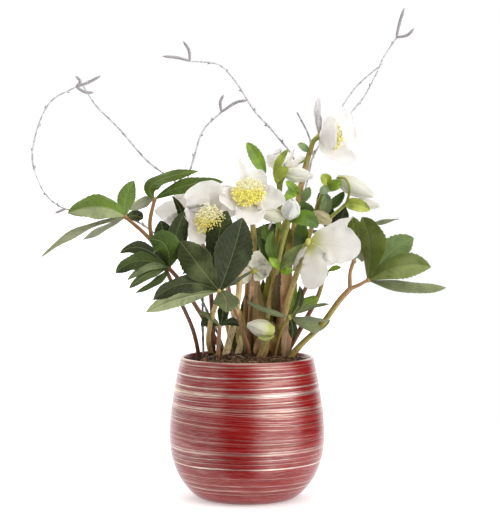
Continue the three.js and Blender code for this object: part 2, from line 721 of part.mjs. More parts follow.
// ======== twigs ========
twig(
  "twig_left",
  [
    [-22, 40, 133],
    [-36, 48, 166],
    [-64, 44, 219],
    [-103, 22, 257],
    [-150, 2, 268],
    [-169, 0, 270],
    [-183, 0, 279],
    [-193, 0, 294],
    [-199, 0, 317],
    [-194, 4, 346],
    [-182, 8, 370],
    [-159, 8, 383],
  ],
  {
    catkins: [
      [[-159, 8, 383], [-155, 8, 388], [-159, 6, 393]],
      [[-159, 8, 383], [-148, 8, 387], [-136, 6, 393]],
      [[-159, 8, 383], [-150, 10, 378], [-143, 12, 378]],
      [[-168, 0, 270], [-173, -2, 268], [-178, -3, 266]],
    ],
  },
);
twig(
  "twig_forked",
  [
    [-41, 16, 132],
    [-42, 22, 166],
    [-42, 26, 211],
    [-48, 24, 254],
    [-60, 20, 287],
    [-93, 16, 314],
    [-120, 12, 345],
    [-141, 14, 366],
    [-153, 16, 384],
  ],
  {
    branches: [[[-59, 20, 285], [-50, 21, 317], [-41, 22, 343], [-23, 22, 361]]],
    catkins: [
      [[-24, 22, 360], [-25, 21, 369], [-22, 19, 376]],
      [[-24, 22, 360], [-10, 20, 369], [1, 17, 371]],
    ],
  },
);
twig(
  "twig_arched",
  [
    [3, 26, 132],
    [0, 30, 164],
    [6, 34, 211],
    [26, 36, 263],
    [46, 31, 309],
    [26, 26, 340],
    [7, 22, 361],
    [-7, 18, 383],
    [-18, 16, 397],
    [-27, 14, 404],
    [-54, 8, 407],
  ],
  {
    catkins: [
      [[-53, 8, 407], [-54, 7, 417], [-59, 5, 425]],
      [[-53, 8, 407], [-65, 6, 410], [-78, 3, 411]],
    ],
  },
);
twig(
  "twig_right",
  [
    [34, 26, 132],
    [37, 32, 173],
    [46, 36, 239],
    [67, 32, 310],
    [84, 27, 343],
    [108, 22, 372],
    [121, 18, 396],
    [127, 16, 410],
    [140, 12, 430],
  ],
  {
    branches: [[[66, 32, 308], [58, 28, 338], [47, 28, 360]]],
    catkins: [
      [[139, 12, 429], [142, 12, 443], [146, 10, 456]],
      [[139, 12, 429], [149, 10, 431], [155, 8, 437]],
    ],
  },
);
twig("twig_thin", [
  [14, 38, 132],
  [26, 40, 190],
  [50, 42, 260],
  [78, 36, 345],
  [102, 30, 383],
  [123, 22, 402],
]);

// ======== stalks whose upper ends stand hidden between the leaves ========
place("stalk_middle_dark", STEM_RED, (grow) =>
  tube(rooted([[26, 2, 132], [30, 0, 176], [31, 0, 211], [31, -3, 231]]), [2.2, 1.8], { grow }),
);
place("stalk_middle_brown", STEM_RED, (grow) =>
  tube(rooted([[-4, 12, 132], [-2, 10, 171], [1, 6, 211], [2, 4, 232]]), [2.2, 1.8], { grow }),
);
place("stalk_crossing", STEM_RED, (grow) =>
  tube(rooted([[3, -12, 131], [0, -25, 148], [-7, -30, 168], [-13, -30, 184], [-17, -30, 202]]), [1.7, 1.3], { grow }),
);
place("stalk_left_bent", STEM_TAN, (grow) =>
  tube(rooted([[-9, -6, 131], [-6, -8, 146], [-10, -6, 163], [-16, 0, 185], [-20, 4, 210]]), [2.6, 2], { grow }),
);

// ======== soil ========
place("soil", SOIL, () => soil());

export default plant;
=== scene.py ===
# A white hellebore in a red lacquered pot, with bare catkin twigs stuck into the soil round it.
# The plant is set out in millimetres, and MM turns them into metres when a piece becomes a mesh.
# +Z is up, the centre of the pot's underside is the origin, and the front of the plant faces -Y.
import math

import bpy
import numpy as np
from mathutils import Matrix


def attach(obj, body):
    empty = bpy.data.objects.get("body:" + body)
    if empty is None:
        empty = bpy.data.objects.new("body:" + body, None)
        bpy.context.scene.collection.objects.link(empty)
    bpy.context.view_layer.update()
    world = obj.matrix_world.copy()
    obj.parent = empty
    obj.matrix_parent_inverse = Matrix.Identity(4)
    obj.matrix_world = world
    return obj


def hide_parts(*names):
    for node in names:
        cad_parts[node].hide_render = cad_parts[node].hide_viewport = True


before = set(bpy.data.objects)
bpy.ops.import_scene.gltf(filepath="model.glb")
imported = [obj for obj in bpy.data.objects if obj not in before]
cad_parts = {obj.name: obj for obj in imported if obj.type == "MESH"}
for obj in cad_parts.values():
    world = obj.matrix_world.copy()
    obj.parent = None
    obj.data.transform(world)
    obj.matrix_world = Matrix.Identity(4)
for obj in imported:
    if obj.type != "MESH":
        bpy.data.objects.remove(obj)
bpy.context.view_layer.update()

MM = 0.001


# ======== camera ========
# A long lens at the height of the flowers, looking down on the soil by a few degrees.
CAMERA_PLACE = (2.8, -1750, 320)
CAMERA_DIP = 3.105  # degrees below the level
CAMERA_LENS = 132.0
CAMERA_SENSOR = 36.0
CAMERA_NEAREST = 0.05  # what it sees lies between these distances, in metres
CAMERA_FARTHEST = 200.0

camera = bpy.data.objects.new("camera", bpy.data.cameras.new("camera"))
camera.data.lens = CAMERA_LENS
camera.data.sensor_width = CAMERA_SENSOR
camera.data.clip_start = CAMERA_NEAREST
camera.data.clip_end = CAMERA_FARTHEST
camera.location = [place * MM for place in CAMERA_PLACE]
camera.rotation_euler = (math.radians(90 - CAMERA_DIP), 0, 0)
bpy.context.scene.collection.objects.link(camera)
bpy.context.scene.camera = camera
bpy.context.scene.view_settings.view_transform = "Standard"


# ======== studio ========
# A white room with broad soft boxes on the left, on the right, behind, overhead and high in front. The dark
# gap below the front one leaves the middle of the pot a deep red. The floor is a pale matt sheet that glows
# a little. It ends close in front of the pot and on its right, so that the lacquer mirrors dark gaps there.
ROOM_GLOW = 0.08
ROOM_SEEN = 1.0
OVERHEAD_GLOW = 1.6
SOFT_BOXES = (  # from and to, in degrees from the front towards the right, and how much they add
    (-152, -42, 0.95),
    (20, 82, 2.5),
    (138, 229, 1.4),
)
SOFT_EDGE = 15.0  # degrees over which a soft box fades out at its sides
FRONT_GLOW = 0.9
FRONT_REACH = 55.0  # degrees to each side of the front
FRONT_FOOT = 0.5  # where the front light begins, as the sine of the elevation
FRONT_FADE = 0.08
SOFT_TOP = 0.85  # where the soft boxes end and the overhead light begins, in the same way
TOP_FADE = (-0.15, 0.1)
FLOOR_ACROSS = (-4000, 290)
FLOOR_DEEP = (-90, 40000)
FLOOR_PALE = (0.84, 0.84, 0.84)
FLOOR_GLOW = 0.38
FLOOR_DROP = 0.2  # below the pot's foot, so that the two faces don't lie in one plane


class Value:
    """A socket that takes part in sums: an operator adds its Math node."""

    def __init__(self, nodes, socket):
        self.nodes = nodes
        self.socket = socket

    def math(self, operation, *others):
        inputs = dict(enumerate((self, *others)))
        return self.nodes.node("ShaderNodeMath", {"operation": operation}, inputs)

    def __add__(self, other):
        return self.math("ADD", other)

    __radd__ = __add__

    def __sub__(self, other):
        return self.math("SUBTRACT", other)

    def __rsub__(self, other):
        return self * -1 + other

    def __mul__(self, other):
        return self.math("MULTIPLY", other)

    __rmul__ = __mul__

    def __truediv__(self, other):
        return self.math("DIVIDE", other)

    def __abs__(self):
        return self.math("ABSOLUTE")


class Nodes:
    """The nodes of the room or of one finish."""

    def __init__(self, owner):
        owner.use_nodes = True
        self.owner = owner
        self.tree = owner.node_tree
        self.tree.nodes.clear()

    def node(self, kind, settings=None, inputs=None, output=0):
        """Adds a node with its settings, then the values or links of its sockets. Gives back one output."""
        made = self.tree.nodes.new(kind)
        for key, setting in (settings or {}).items():
            setattr(made, key, setting)
        for key, value in (inputs or {}).items():
            socket = made.inputs[key]
            if isinstance(value, Value):
                self.tree.links.new(value.socket, socket)
            elif socket.type == "RGBA":
                socket.default_value = (*value, 1)
            else:
                socket.default_value = value
        return Value(self, made.outputs[output]) if len(made.outputs) else None

    def parts(self, vector):
        """The three parts of a place or direction."""
        first = self.node("ShaderNodeSeparateXYZ", {}, {0: vector})
        return [Value(self, socket) for socket in first.socket.node.outputs]

    def band(self, value, low, high, out_low=0.0, out_high=1.0):
        """Goes smoothly from out_low to out_high as the value goes from low to high."""
        ends = {"Value": value, "From Min": low, "From Max": high, "To Min": out_low, "To Max": out_high}
        return self.node("ShaderNodeMapRange", {"interpolation_type": "SMOOTHSTEP"}, ends)


room = Nodes(bpy.data.worlds.new("white room"))
bpy.context.scene.world = room.owner
right, back, up = room.parts(room.node("ShaderNodeTexCoord", output="Generated"))
bearing = right.math("ARCTAN2", back * -1) * (180 / math.pi)
top_starts, top_ends = (SOFT_TOP + fade for fade in TOP_FADE)
glow = room.band(up, top_starts, top_ends, 0.0, OVERHEAD_GLOW) + ROOM_GLOW
below_top = room.band(up, top_starts, top_ends, 1.0, 0.0)
for near, far, shine in SOFT_BOXES:
    turn = abs(bearing) if far > 180 else bearing
    lit = room.band(turn, near - SOFT_EDGE, near + SOFT_EDGE, 0.0, shine)
    if far <= 180:
        lit = lit * room.band(turn, far - SOFT_EDGE, far + SOFT_EDGE, 1.0, 0.0)
    glow = glow + lit * below_top
front = room.band(abs(bearing), FRONT_REACH - SOFT_EDGE, FRONT_REACH + SOFT_EDGE, FRONT_GLOW, 0.0)
glow = glow + front * room.band(up, FRONT_FOOT - FRONT_FADE, FRONT_FOOT + FRONT_FADE) * below_top
is_seen = room.node("ShaderNodeLightPath", output="Is Camera Ray")
strength = glow + is_seen * (ROOM_SEEN - glow)
walls = room.node("ShaderNodeBackground", {}, {"Color": (1, 1, 1), "Strength": strength})
room.node("ShaderNodeOutputWorld", {}, {"Surface": walls})


class Finish(Nodes):
    """One finish of the object, as a material."""

    def __init__(self, name):
        super().__init__(bpy.data.materials.new(name))
        self.material = self.owner
        self.place = self.node("ShaderNodeTexCoord", output="Object")

    def mark(self, name, output):
        """What each point of a form carries under a name."""
        return self.node("ShaderNodeAttribute", {"attribute_name": name}, {}, output)

    def dye(self):
        return self.mark("dye", "Color")

    def plan(self):
        """How far along and across its blade or stem a place is, and the share of the half width."""
        return self.parts(self.mark("plan", "Vector"))

    def noise(self, scale, detail=3.0, roughness=0.5, place=None):
        place = self.place if place is None else place
        inputs = {"Vector": place, "Scale": scale, "Detail": detail, "Roughness": roughness}
        return self.node("ShaderNodeTexNoise", {}, inputs)

    def drawn_noise(self, place, scale, detail, roughness=0.5):
        """A noise with a scale for each axis, drawn out along the axes where the scale is small."""
        stretched = self.node("ShaderNodeVectorMath", {"operation": "MULTIPLY"}, {0: place, 1: scale})
        return self.noise(1.0, detail, roughness, stretched)

    def mix(self, share, one, other, how="MIX"):
        """A share of the other colour over the one."""
        settings = {"data_type": "RGBA", "blend_type": how}
        return self.node("ShaderNodeMix", settings, {0: share, 6: one, 7: other}, 2)

    def bump(self, height, strength, distance):
        """A relief. distance is what a height of 1 stands for, in metres."""
        inputs = {"Height": height, "Strength": strength, "Distance": distance}
        return self.node("ShaderNodeBump", {}, inputs)

    def coat(self, **sockets):
        inputs = {name.replace("_", " "): value for name, value in sockets.items()}
        return self.node("ShaderNodeBsdfPrincipled", {}, inputs)

    def finished(self, coat):
        self.node("ShaderNodeOutputMaterial", {}, {"Surface": coat})
        return self

    def surface(self, **sockets):
        """A finish of one coat."""
        return self.finished(self.coat(**sockets))


def pale_floor():
    paint = Finish("pale floor")
    cloud = paint.noise(2.0)
    tone = paint.mix(cloud, FLOOR_PALE, (FLOOR_PALE[0] * 1.03,) * 3)
    return paint.surface(
        Base_Color=tone, Roughness=0.9, Specular_IOR_Level=0.0,
        Emission_Color=(1, 1, 1), Emission_Strength=FLOOR_GLOW,
    )


floor_mesh = bpy.data.meshes.new("floor")
edges = [(FLOOR_ACROSS[i], FLOOR_DEEP[j]) for i, j in ((0, 0), (1, 0), (1, 1), (0, 1))]
corners = [(x * MM, y * MM, -FLOOR_DROP * MM) for x, y in edges]
floor_mesh.from_pydata(corners, [], [(0, 1, 2, 3)])
floor_mesh.materials.append(pale_floor().material)
floor = bpy.data.objects.new("floor", floor_mesh)
bpy.context.scene.collection.objects.link(floor)


# ======== pot ========
# A thrown cover pot with a full belly, lacquered red. Its maker drew a dry brush of silver gold round it
# while it turned, so the streaks are thin, nearly level and broken. Comb marks show under the lacquer.
POT_STATIONS = (  # radius and height up the outside
    (40, 0), (45.5, 1.6), (51.5, 6), (57.5, 12.5), (63.4, 21), (67.4, 30), (70.8, 42), (72.4, 58),
    (71.5, 78), (67.5, 105), (62.5, 129.6), (61.7, 131.6), (60.4, 132.5), (59.1, 131.7),
)
POT_FOOT = ((0.4, 0), (20, 0), (39, 0))  # the same across its underside
POT_WALL = 4.2
POT_FLOOR = 5.0
POT_FLOOR_EDGE = ((53.0, 12.5), (46.5, POT_FLOOR))  # where the wall turns into the floor inside
POT_SIDES = 150
POT_ROW = 0.7  # between the rings of the outside, small enough for the comb marks
COMB_MARKS = 110
COMB_TOP = 131
RIM_HIGHLIGHT_BAND = (130.8, 132.2)  # heights between which the lacquer turns to silver, a painted highlight along the top edge of the rim


def seen(red, green, blue):
    """A colour as it looks, 0 to 255, in the linear numbers that a finish is mixed from."""
    shares = np.array([red, green, blue]) / 255
    return tuple(np.where(shares <= 0.04045, shares / 12.92, ((shares + 0.055) / 1.055) ** 2.4))


LACQUER_RED = seen(137, 8, 11)
LACQUER_DEEP = seen(100, 5, 6)
STREAK_SILVER = seen(232, 218, 210)
STREAK_GOLD = seen(224, 204, 182)
MAIN_STREAKS = (  # height, half width and strength
    (128.6, 0.6, 0.5), (126.2, 0.4, 0.3), (118.9, 0.65, 1.0), (115.6, 0.35, 0.4), (109.3, 0.8, 0.85),
    (105.0, 0.6, 0.5), (103.3, 1.3, 0.8), (101.4, 0.5, 0.6), (96.3, 0.5, 0.6), (94.0, 0.3, 0.4),
    (91.2, 0.5, 0.5), (89.6, 1.0, 0.75), (87.2, 0.6, 0.6), (85.6, 0.5, 0.5), (77.4, 0.35, 0.5),
    (73.6, 0.5, 0.55), (63.9, 0.3, 0.3), (60.6, 0.4, 0.4), (52.5, 0.8, 0.35), (50.5, 1.2, 0.5),
    (45.6, 0.4, 0.5), (41.5, 0.4, 0.4), (36.9, 0.65, 1.0), (27.7, 0.4, 0.3), (20.5, 0.5, 0.35),
    (15.7, 1.0, 0.5), (11.8, 0.5, 0.35),
)
SLANT_HEIGHT = 76.0  # where the brush ran on a slant
SLANT_REACH = 14.0  # how far above and below
SLANT = 0.04  # rise for each millimetre to the right
ROUTE_STEPS = 40  # fine steps in each leg of a route, before it is cut into even ones


def line(route, step):
    """A smooth line through a route, as points about a step apart, and how far along it each of them is."""
    route = np.asarray(route, float)
    legs = len(route) - 1
    past = np.vstack([2 * route[0] - route[1], route, 2 * route[-1] - route[-2]])
    gaps = np.linalg.norm(np.diff(past, axis=0), axis=1)[:, None] ** 0.5
    at = np.linspace(0, legs, ROUTE_STEPS * legs + 1)
    leg = np.minimum(at.astype(int), legs - 1)
    w = (at - leg)[:, None]
    before, here, there, after = (past[leg + i] for i in range(4))
    gap_in, gap, gap_out = (gaps[leg + i] for i in range(3))
    leave = ((here - before) / gap_in - (there - before) / (gap_in + gap) + (there - here) / gap) * gap
    reach = ((there - here) / gap - (after - here) / (gap + gap_out) + (after - there) / gap_out) * gap
    fine = (2 * w**3 - 3 * w**2 + 1) * here + (3 * w**2 - 2 * w**3) * there
    fine += (w**3 - 2 * w**2 + w) * leave + (w**3 - w**2) * reach
    run = np.concatenate([[0], np.cumsum(np.linalg.norm(np.diff(fine, axis=0), axis=1))])
    even = np.linspace(0, run[-1], max(4, int(run[-1] / step) + 1))
    points = np.stack([np.interp(even, run, part) for part in fine.T], 1)
    return points, even


class Form:
    """A mesh gathered from rings of points in millimetres, each ring joined to the next and both ends
    closed. A point also carries its plan, its dye, and whether it is on an underside."""

    def __init__(self):
        self.corners = 0
        self.points, self.faces, self.finishes = [], [], []
        self.plans, self.dyes, self.unders = [], [], []

    def skin(self, rings, plan=(0, 0, 0), dye=(1, 1, 1), under=0.0, finish=0):
        rings = np.asarray(rings, float)
        rows, sides = rings.shape[:2]
        corner = self.corners + np.arange(rows * sides).reshape(rows, sides)
        beside = np.roll(corner, -1, axis=1)
        half = np.arange(sides // 2 - 1)
        start = np.stack([sides - 1 - half, sides - 2 - half, half + 1, half], -1)
        faces = [np.stack([corner[:-1], beside[:-1], beside[1:], corner[1:]], -1).reshape(-1, 4)]
        faces += [corner[0][start], corner[-1][start[:, ::-1]]]
        self.faces += faces
        self.finishes.append(np.full(sum(map(len, faces)), finish))
        self.points.append(rings.reshape(-1, 3))
        for kept, value in ((self.plans, plan), (self.dyes, dye)):
            kept.append(np.broadcast_to(value, (rows, sides, 3)).reshape(-1, 3))
        self.unders.append(np.broadcast_to(under, (rows, sides)).ravel())
        self.corners += rows * sides

    def become(self, node, slot, *paints):
        """The finished piece that stands for a node of the frame."""
        faces = np.concatenate(self.faces)
        dyes = np.concatenate(self.dyes)
        mesh = bpy.data.meshes.new(node)
        mesh.vertices.add(self.corners)
        mesh.vertices.foreach_set("co", np.concatenate(self.points).ravel() * MM)
        mesh.loops.add(faces.size)
        mesh.loops.foreach_set("vertex_index", faces.ravel())
        mesh.polygons.add(len(faces))
        mesh.polygons.foreach_set("loop_start", np.arange(0, faces.size, 4))
        mesh.polygons.foreach_set("material_index", np.concatenate(self.finishes))
        mesh.polygons.foreach_set("use_smooth", np.ones(len(faces), bool))
        marks = (
            ("plan", "FLOAT_VECTOR", "vector", np.concatenate(self.plans)),
            ("dye", "FLOAT_COLOR", "color", np.column_stack([dyes, np.ones(len(dyes))])),
            ("under", "FLOAT", "value", np.concatenate(self.unders)),
        )
        for mark, kind, key, values in marks:
            mesh.attributes.new(mark, kind, "POINT").data.foreach_set(key, values.astype(float).ravel())
        for paint in paints:
            mesh.materials.append(paint.material)
        mesh.update(calc_edges=True)
        mesh.validate()
        piece = bpy.data.objects.new(node + "_finished", mesh)
        bpy.context.scene.collection.objects.link(piece)
        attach(piece, "root")
        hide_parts(node)


def turned(profile, sides):
    """Rings of a turned shape, from its profile of radius and height."""
    angle = np.linspace(0, 2 * math.pi, sides, endpoint=False)
    radius, height = np.asarray(profile, float).T[:, :, None]
    return np.stack([radius * np.cos(angle), radius * np.sin(angle), height + 0 * angle], -1)


def comb_marks(rings, seed):
    """Moves the outside of the pot in and out by the shallow level grooves that the comb left."""
    rng = np.random.default_rng(seed)
    angle = np.arctan2(rings[..., 1], rings[..., 0])
    height = rings[..., 2]
    height = height + SLANT * rings[..., 0] * np.exp(-(((height - SLANT_HEIGHT) / SLANT_REACH) ** 2))
    depth = np.zeros_like(height)
    for _ in range(COMB_MARKS):
        middle = rng.uniform(2, 130) + rng.uniform(0, 0.5) * np.sin(angle + rng.uniform(0, 6.3))
        reach = np.cos(angle * rng.integers(0, 3) + rng.uniform(0, 6.3)) + rng.uniform(0.2, 1)
        deepest = rng.uniform(-0.09, 0.05) * np.clip(reach, 0, 1)
        depth += deepest * np.exp(-(((height - middle) / rng.uniform(0.4, 1.1)) ** 2))
    outward = np.stack([np.cos(angle), np.sin(angle), 0 * angle], -1)
    edge = np.clip((COMB_TOP - rings[..., 2]) / 3, 0, 1) * np.clip(rings[..., 2] / 3, 0, 1)
    return rings + outward * (depth * edge)[..., None]


def streaked_lacquer():
    paint = Finish("red lacquer, brushed silver gold")
    x, y, z = paint.parts(paint.place)
    lean = paint.band(abs(z - SLANT_HEIGHT * MM), 0.006, 0.022, SLANT, 0.0)
    wave = paint.noise(16.0, 1.0) - 0.5
    height = z + x * lean + wave * 0.0018
    level = paint.node("ShaderNodeCombineXYZ", {}, {0: x, 1: y, 2: height})
    hairs = paint.drawn_noise(level, (60, 60, 1300), 3.0, 0.65)
    lines = paint.drawn_noise(level, (11, 11, 720), 2.0)
    threads = paint.drawn_noise(level, (6, 6, 900), 1.0)
    strands = paint.drawn_noise(level, (6, 6, 210), 3.0, 0.6)
    zones = paint.drawn_noise(level, (5, 5, 40), 1.0)
    breaks = paint.drawn_noise(level, (16, 16, 150), 2.0)
    rich = paint.band(zones, 0.38, 0.64, 0.3, 1.0) * paint.band(z, 0.035, 0.1, 0.5, 1.0)
    veil = paint.band(hairs, 0.50, 0.60, 0.0, 0.12) + paint.band(lines, 0.56, 0.63, 0.0, 0.20) * rich
    veil = veil + paint.band(threads, 0.58, 0.66, 0.0, 0.15) * rich
    main = 0
    for middle, half, strength in MAIN_STREAKS:
        ragged = abs(height - middle * MM) + (lines - 0.5) * (half * 1.1 * MM)
        main = paint.band(ragged, half * 0.4 * MM, half * 1.05 * MM, strength, 0.0) + main
    main = main * paint.band(breaks, 0.3, 0.6, 0.55, 1.0) * paint.band(hairs, 0.34, 0.6, 0.55, 1.0)
    # painted highlight: a band of silver along the rim's top edge
    rim_highlight = paint.band(z, *(edge * MM for edge in RIM_HIGHLIGHT_BAND), 0.0, 0.35)
    silver = (veil * paint.band(breaks, 0.25, 0.6, 0.6, 1.0) + main + rim_highlight).math("MINIMUM", 0.95)
    grooves = paint.bump(hairs * 0.6 + lines, 0.6, 0.0003)
    red = paint.mix(paint.band(lines, 0.3, 0.6, 0.7, 0.0), LACQUER_RED, LACQUER_DEEP)
    sheen = paint.band(hairs, 0.3, 0.7, 0.14, 0.22)
    lacquer = paint.coat(Base_Color=red, Roughness=sheen, Normal=grooves, Specular_IOR_Level=0.55)
    metal = paint.mix(paint.band(strands, 0.35, 0.65), STREAK_SILVER, STREAK_GOLD)
    brushed = paint.coat(Base_Color=metal, Metallic=0.9, Roughness=sheen + 0.14, Normal=grooves)
    return paint.finished(paint.node("ShaderNodeMixShader", {}, {0: silver, 1: lacquer, 2: brushed}))


def make_pot():
    outside, _ = line(POT_STATIONS, POT_ROW)
    wall_end, (floor_edge, _) = POT_FLOOR_EDGE
    inside, _ = line([*[(r - POT_WALL, z) for r, z in POT_STATIONS[-5:3:-1]], wall_end], 2.0)
    bottom = [(radius, POT_FLOOR) for radius in (floor_edge, floor_edge * 0.5, 0.4)]
    rings = turned([*POT_FOOT, *outside, *inside, *bottom], POT_SIDES)
    rows = slice(len(POT_FOOT), len(POT_FOOT) + len(outside))
    rings[rows] = comb_marks(rings[rows], 11)
    form = Form()
    form.skin(rings)
    form.become("pot", "red_lacquer", streaked_lacquer())


make_pot()


# ======== soil ========
# A root ball of dark peat that fills the pot to just under the rim and mounds up at the crown of the plant.
# Loose crumbs, bits of bark and dry root fibres lie on it.
SOIL_RADIUS = 58.2
SOIL_CLEARANCE = 0.4  # between the soil and the pot
SOIL_EDGE = 126.0
SOIL_RISE = 9.5  # from its edge to the crown
SOIL_SIDES = 110
CRUMBS = 560
CRUMB_SIZES = [0.9, 1.4, 2.2]
CRUMB_SHARES = [0.4, 0.35, 0.25]
FIBRES = 64
STREWN = 57.0  # crumbs and fibres lie within this radius
PEAT_DARK = seen(44, 29, 18)
PEAT_BROWN = seen(128, 92, 58)
FIBRE_TANS = (seen(146, 112, 74), seen(100, 68, 42), seen(178, 150, 112))
RIPPLE_WAVES = 7
LUMP_ENDS = 0.12  # how far from its poles a lump's first and last rings lie, in radians
LUMP_DENT = 0.28


def unit(vectors):
    vectors = np.asarray(vectors, float)
    return vectors / np.linalg.norm(vectors, axis=-1, keepdims=True)


def crosswise(axis, hint):
    """Two directions across an axis, the first of them also across the hint."""
    across = unit(np.cross(axis, hint))
    return across, np.cross(axis, across)


def ripple(places, size, seed):
    """A smooth random number from -1 to 1 at each place, which changes over about the given size."""
    rng = np.random.default_rng(seed)
    ways = unit(rng.normal(size=(RIPPLE_WAVES, 3))) * rng.uniform(0.6, 1.5, (RIPPLE_WAVES, 1))
    phases = np.asarray(places) @ (ways * 2 * math.pi / (2.4 * size)).T
    return np.sin(phases + rng.uniform(0, 6.3, RIPPLE_WAVES)).sum(-1) / (0.6 * RIPPLE_WAVES)


def carried(points):
    """Two directions across a line at each of its points, carried along it without a twist."""
    ahead = unit(np.gradient(points, axis=0))
    across = np.empty_like(points)
    side = np.array([0.36, 0.48, 0.8])
    for i, way in enumerate(ahead):
        side = unit(side - way * (side @ way))
        across[i] = side
    return ahead, across, np.cross(ahead, across)


def tube(points, radius, sides):
    """Rings round a line. radius is one number, one a point, or one for each point and side."""
    _, across, beside = carried(points)
    angle = np.linspace(0, 2 * math.pi, sides, endpoint=False)[None, :, None]
    radius = np.asarray(radius, float)
    if radius.ndim == 1:
        radius = radius[:, None]
    spoke = np.cos(angle) * across[:, None] + np.sin(angle) * beside[:, None]
    return points[:, None] + spoke * np.broadcast_to(radius, (len(points), sides))[..., None]


def lump(centre, size, rows, sides, seed, ways=None):
    """Rings of a lumpy grain. size is its half length along each of three directions."""
    ways = np.eye(3) if ways is None else ways
    turn = np.linspace(LUMP_ENDS, math.pi - LUMP_ENDS, rows)[:, None]
    angle = np.linspace(0, 2 * math.pi, sides, endpoint=False)[None]
    across = [np.sin(turn) * np.cos(angle), np.sin(turn) * np.sin(angle)]
    local = np.stack([*across, -np.cos(turn) + 0 * angle], -1)
    dent = 1 + LUMP_DENT * ripple(local + seed * 1.7, 0.9, seed)
    return np.asarray(centre) + (local * dent[..., None] * np.asarray(size)) @ ways


def soil_height(x, y):
    share = np.hypot(x, y) / (SOIL_RADIUS + SOIL_CLEARANCE)
    return SOIL_EDGE + SOIL_RISE * (1 - share**2)


def peat():
    paint = Finish("peat")
    grain = paint.noise(900.0, 5.0, 0.7)
    patch = paint.noise(160.0, 3.0)
    dye = paint.dye()
    brown = paint.mix(paint.band(grain, 0.42, 0.66), PEAT_DARK, PEAT_BROWN)
    brown = paint.mix(paint.band(patch, 0.3, 0.7, 0.0, 0.6), brown, PEAT_DARK)
    tone = paint.mix(1.0, brown, dye, "MULTIPLY")
    relief = paint.bump(grain + patch, 0.8, 0.0008)
    return paint.surface(Base_Color=tone, Roughness=paint.band(grain, 0.3, 0.7, 0.8, 1.0), Normal=relief)


def root_fibre():
    paint = Finish("dry root fibre")
    dye = paint.dye()
    fleck = paint.noise(700.0, 3.0)
    tone = paint.mix(paint.band(fleck, 0.4, 0.7, 0.0, 0.6), dye, PEAT_BROWN)
    rough = paint.band(fleck, 0.3, 0.7, 0.7, 0.95)
    return paint.surface(Base_Color=tone, Roughness=rough, Normal=paint.bump(fleck, 0.5, 0.0003))


def make_soil():
    rng = np.random.default_rng(5)
    form = Form()
    wall = [(r - POT_WALL - SOIL_CLEARANCE, z) for r, z in POT_STATIONS if 12 < z < 128]
    base = POT_FLOOR + SOIL_CLEARANCE
    bottom = [(0.4, base), (wall[0][0] - 7, base)]
    profile = [*bottom, *line(wall, 4.0)[0], (SOIL_RADIUS, SOIL_EDGE - 1.2)]
    top = [(r, soil_height(r, 0)) for r in np.linspace(SOIL_RADIUS, 0.4, 62)]
    rings = turned([*profile, *top], SOIL_SIDES)
    crust = rings[len(profile):]
    fade = np.clip((SOIL_RADIUS - np.hypot(crust[..., 0], crust[..., 1])) / 3, 0, 1)
    lumps = 1.1 * ripple(crust, 9, 1) + 0.9 * ripple(crust, 3.2, 2) + 0.5 * ripple(crust, 1.6, 3)
    crust[..., 2] += fade * lumps
    form.skin(rings)
    for grain in range(CRUMBS):
        radius, angle = STREWN * math.sqrt(rng.uniform()), rng.uniform(0, 2 * math.pi)
        x, y = radius * math.cos(angle), radius * math.sin(angle)
        size = rng.uniform(0.5, 1.0) * rng.choice(CRUMB_SIZES, p=CRUMB_SHARES)
        way = unit(rng.normal(size=3))
        ways = np.stack([way, *crosswise(way, rng.normal(size=3))])
        place = (x, y, soil_height(x, y) + rng.uniform(0.2, 1.2) * size)
        shade = rng.uniform(0.6, 2.6)
        crumb = lump(place, size * rng.uniform(0.6, 1.5, 3), 5, 7, grain, ways)
        form.skin(crumb, dye=(shade, shade * 0.88, shade * 0.76))
    for strand in range(FIBRES):
        radius, angle = (STREWN - 2) * math.sqrt(rng.uniform()), rng.uniform(0, 2 * math.pi)
        way, length = rng.uniform(0, 2 * math.pi), rng.uniform(6, 17)
        steps = np.array([-0.5, -0.2, 0.15, 0.5]) * length
        bend = rng.uniform(-0.16, 0.16) * length * np.array([0, 1, 0.6, 0])
        x = radius * math.cos(angle) + steps * math.cos(way) + bend * math.sin(way)
        y = radius * math.sin(angle) + steps * math.sin(way) - bend * math.cos(way)
        inside = np.minimum(1, STREWN / np.hypot(x, y))
        x, y = x * inside, y * inside
        z = soil_height(x, y) + np.array([0.3, 1.5, 1.9, 0.5])
        points, _ = line(np.stack([x, y, z], 1), 1.0)
        tan = FIBRE_TANS[strand % len(FIBRE_TANS)]
        form.skin(tube(points, rng.uniform(0.18, 0.42), 6), dye=tan, finish=1)
    form.become("soil", "soil", peat(), root_fibre())


make_soil()


# ======== flower and bud stems ========
# Juicy round stems, tan and freckled with red low down and green near the flower, faintly ribbed along.
# Pale green bracts with even veins sit where a stem branches, and dry sheaths wrap the stems low down; the
# darkest of them mostly stand behind the stems, where they also act as painted shade in the gaps between
# them.
STEM_STEP = 1.3
STEM_SIDES = 14
ARM_SIDES = 12
STEM_FOOT = 122.0  # stems reach this far down into the soil
BRACT_ROWS = 34
BRACT_CUP = 0.3
BRACT_TWIST = 0.3
TAN = seen(206, 178, 108)
OLIVE = seen(156, 148, 58)
FRESH = seen(154, 166, 66)
STRAW = seen(255, 232, 176)
PINK_BROWN = seen(186, 138, 98)
RED_BROWN = seen(138, 86, 62)
DARK_BROWN = seen(74, 46, 34)
BRACT_GREEN = seen(120, 146, 44)
BRACT_PALE = seen(170, 182, 92)
BRACT_YELLOW = seen(158, 168, 62)
BRACT_DEEP = seen(74, 100, 28)
BRACT_LIME = seen(130, 158, 42)
BRACT_GREY = seen(128, 146, 106)
SHEATH_PINK = seen(206, 160, 124)  # dry sheaths that wrap the stems low down
SHEATH_BROWN = seen(154, 120, 62)
# a dry sheath's colour that is also painted shade: most of the dark sheaths sit behind the stems and darken
# the gaps between them
SHEATH_DARK_AND_SHADE = seen(88, 72, 34)


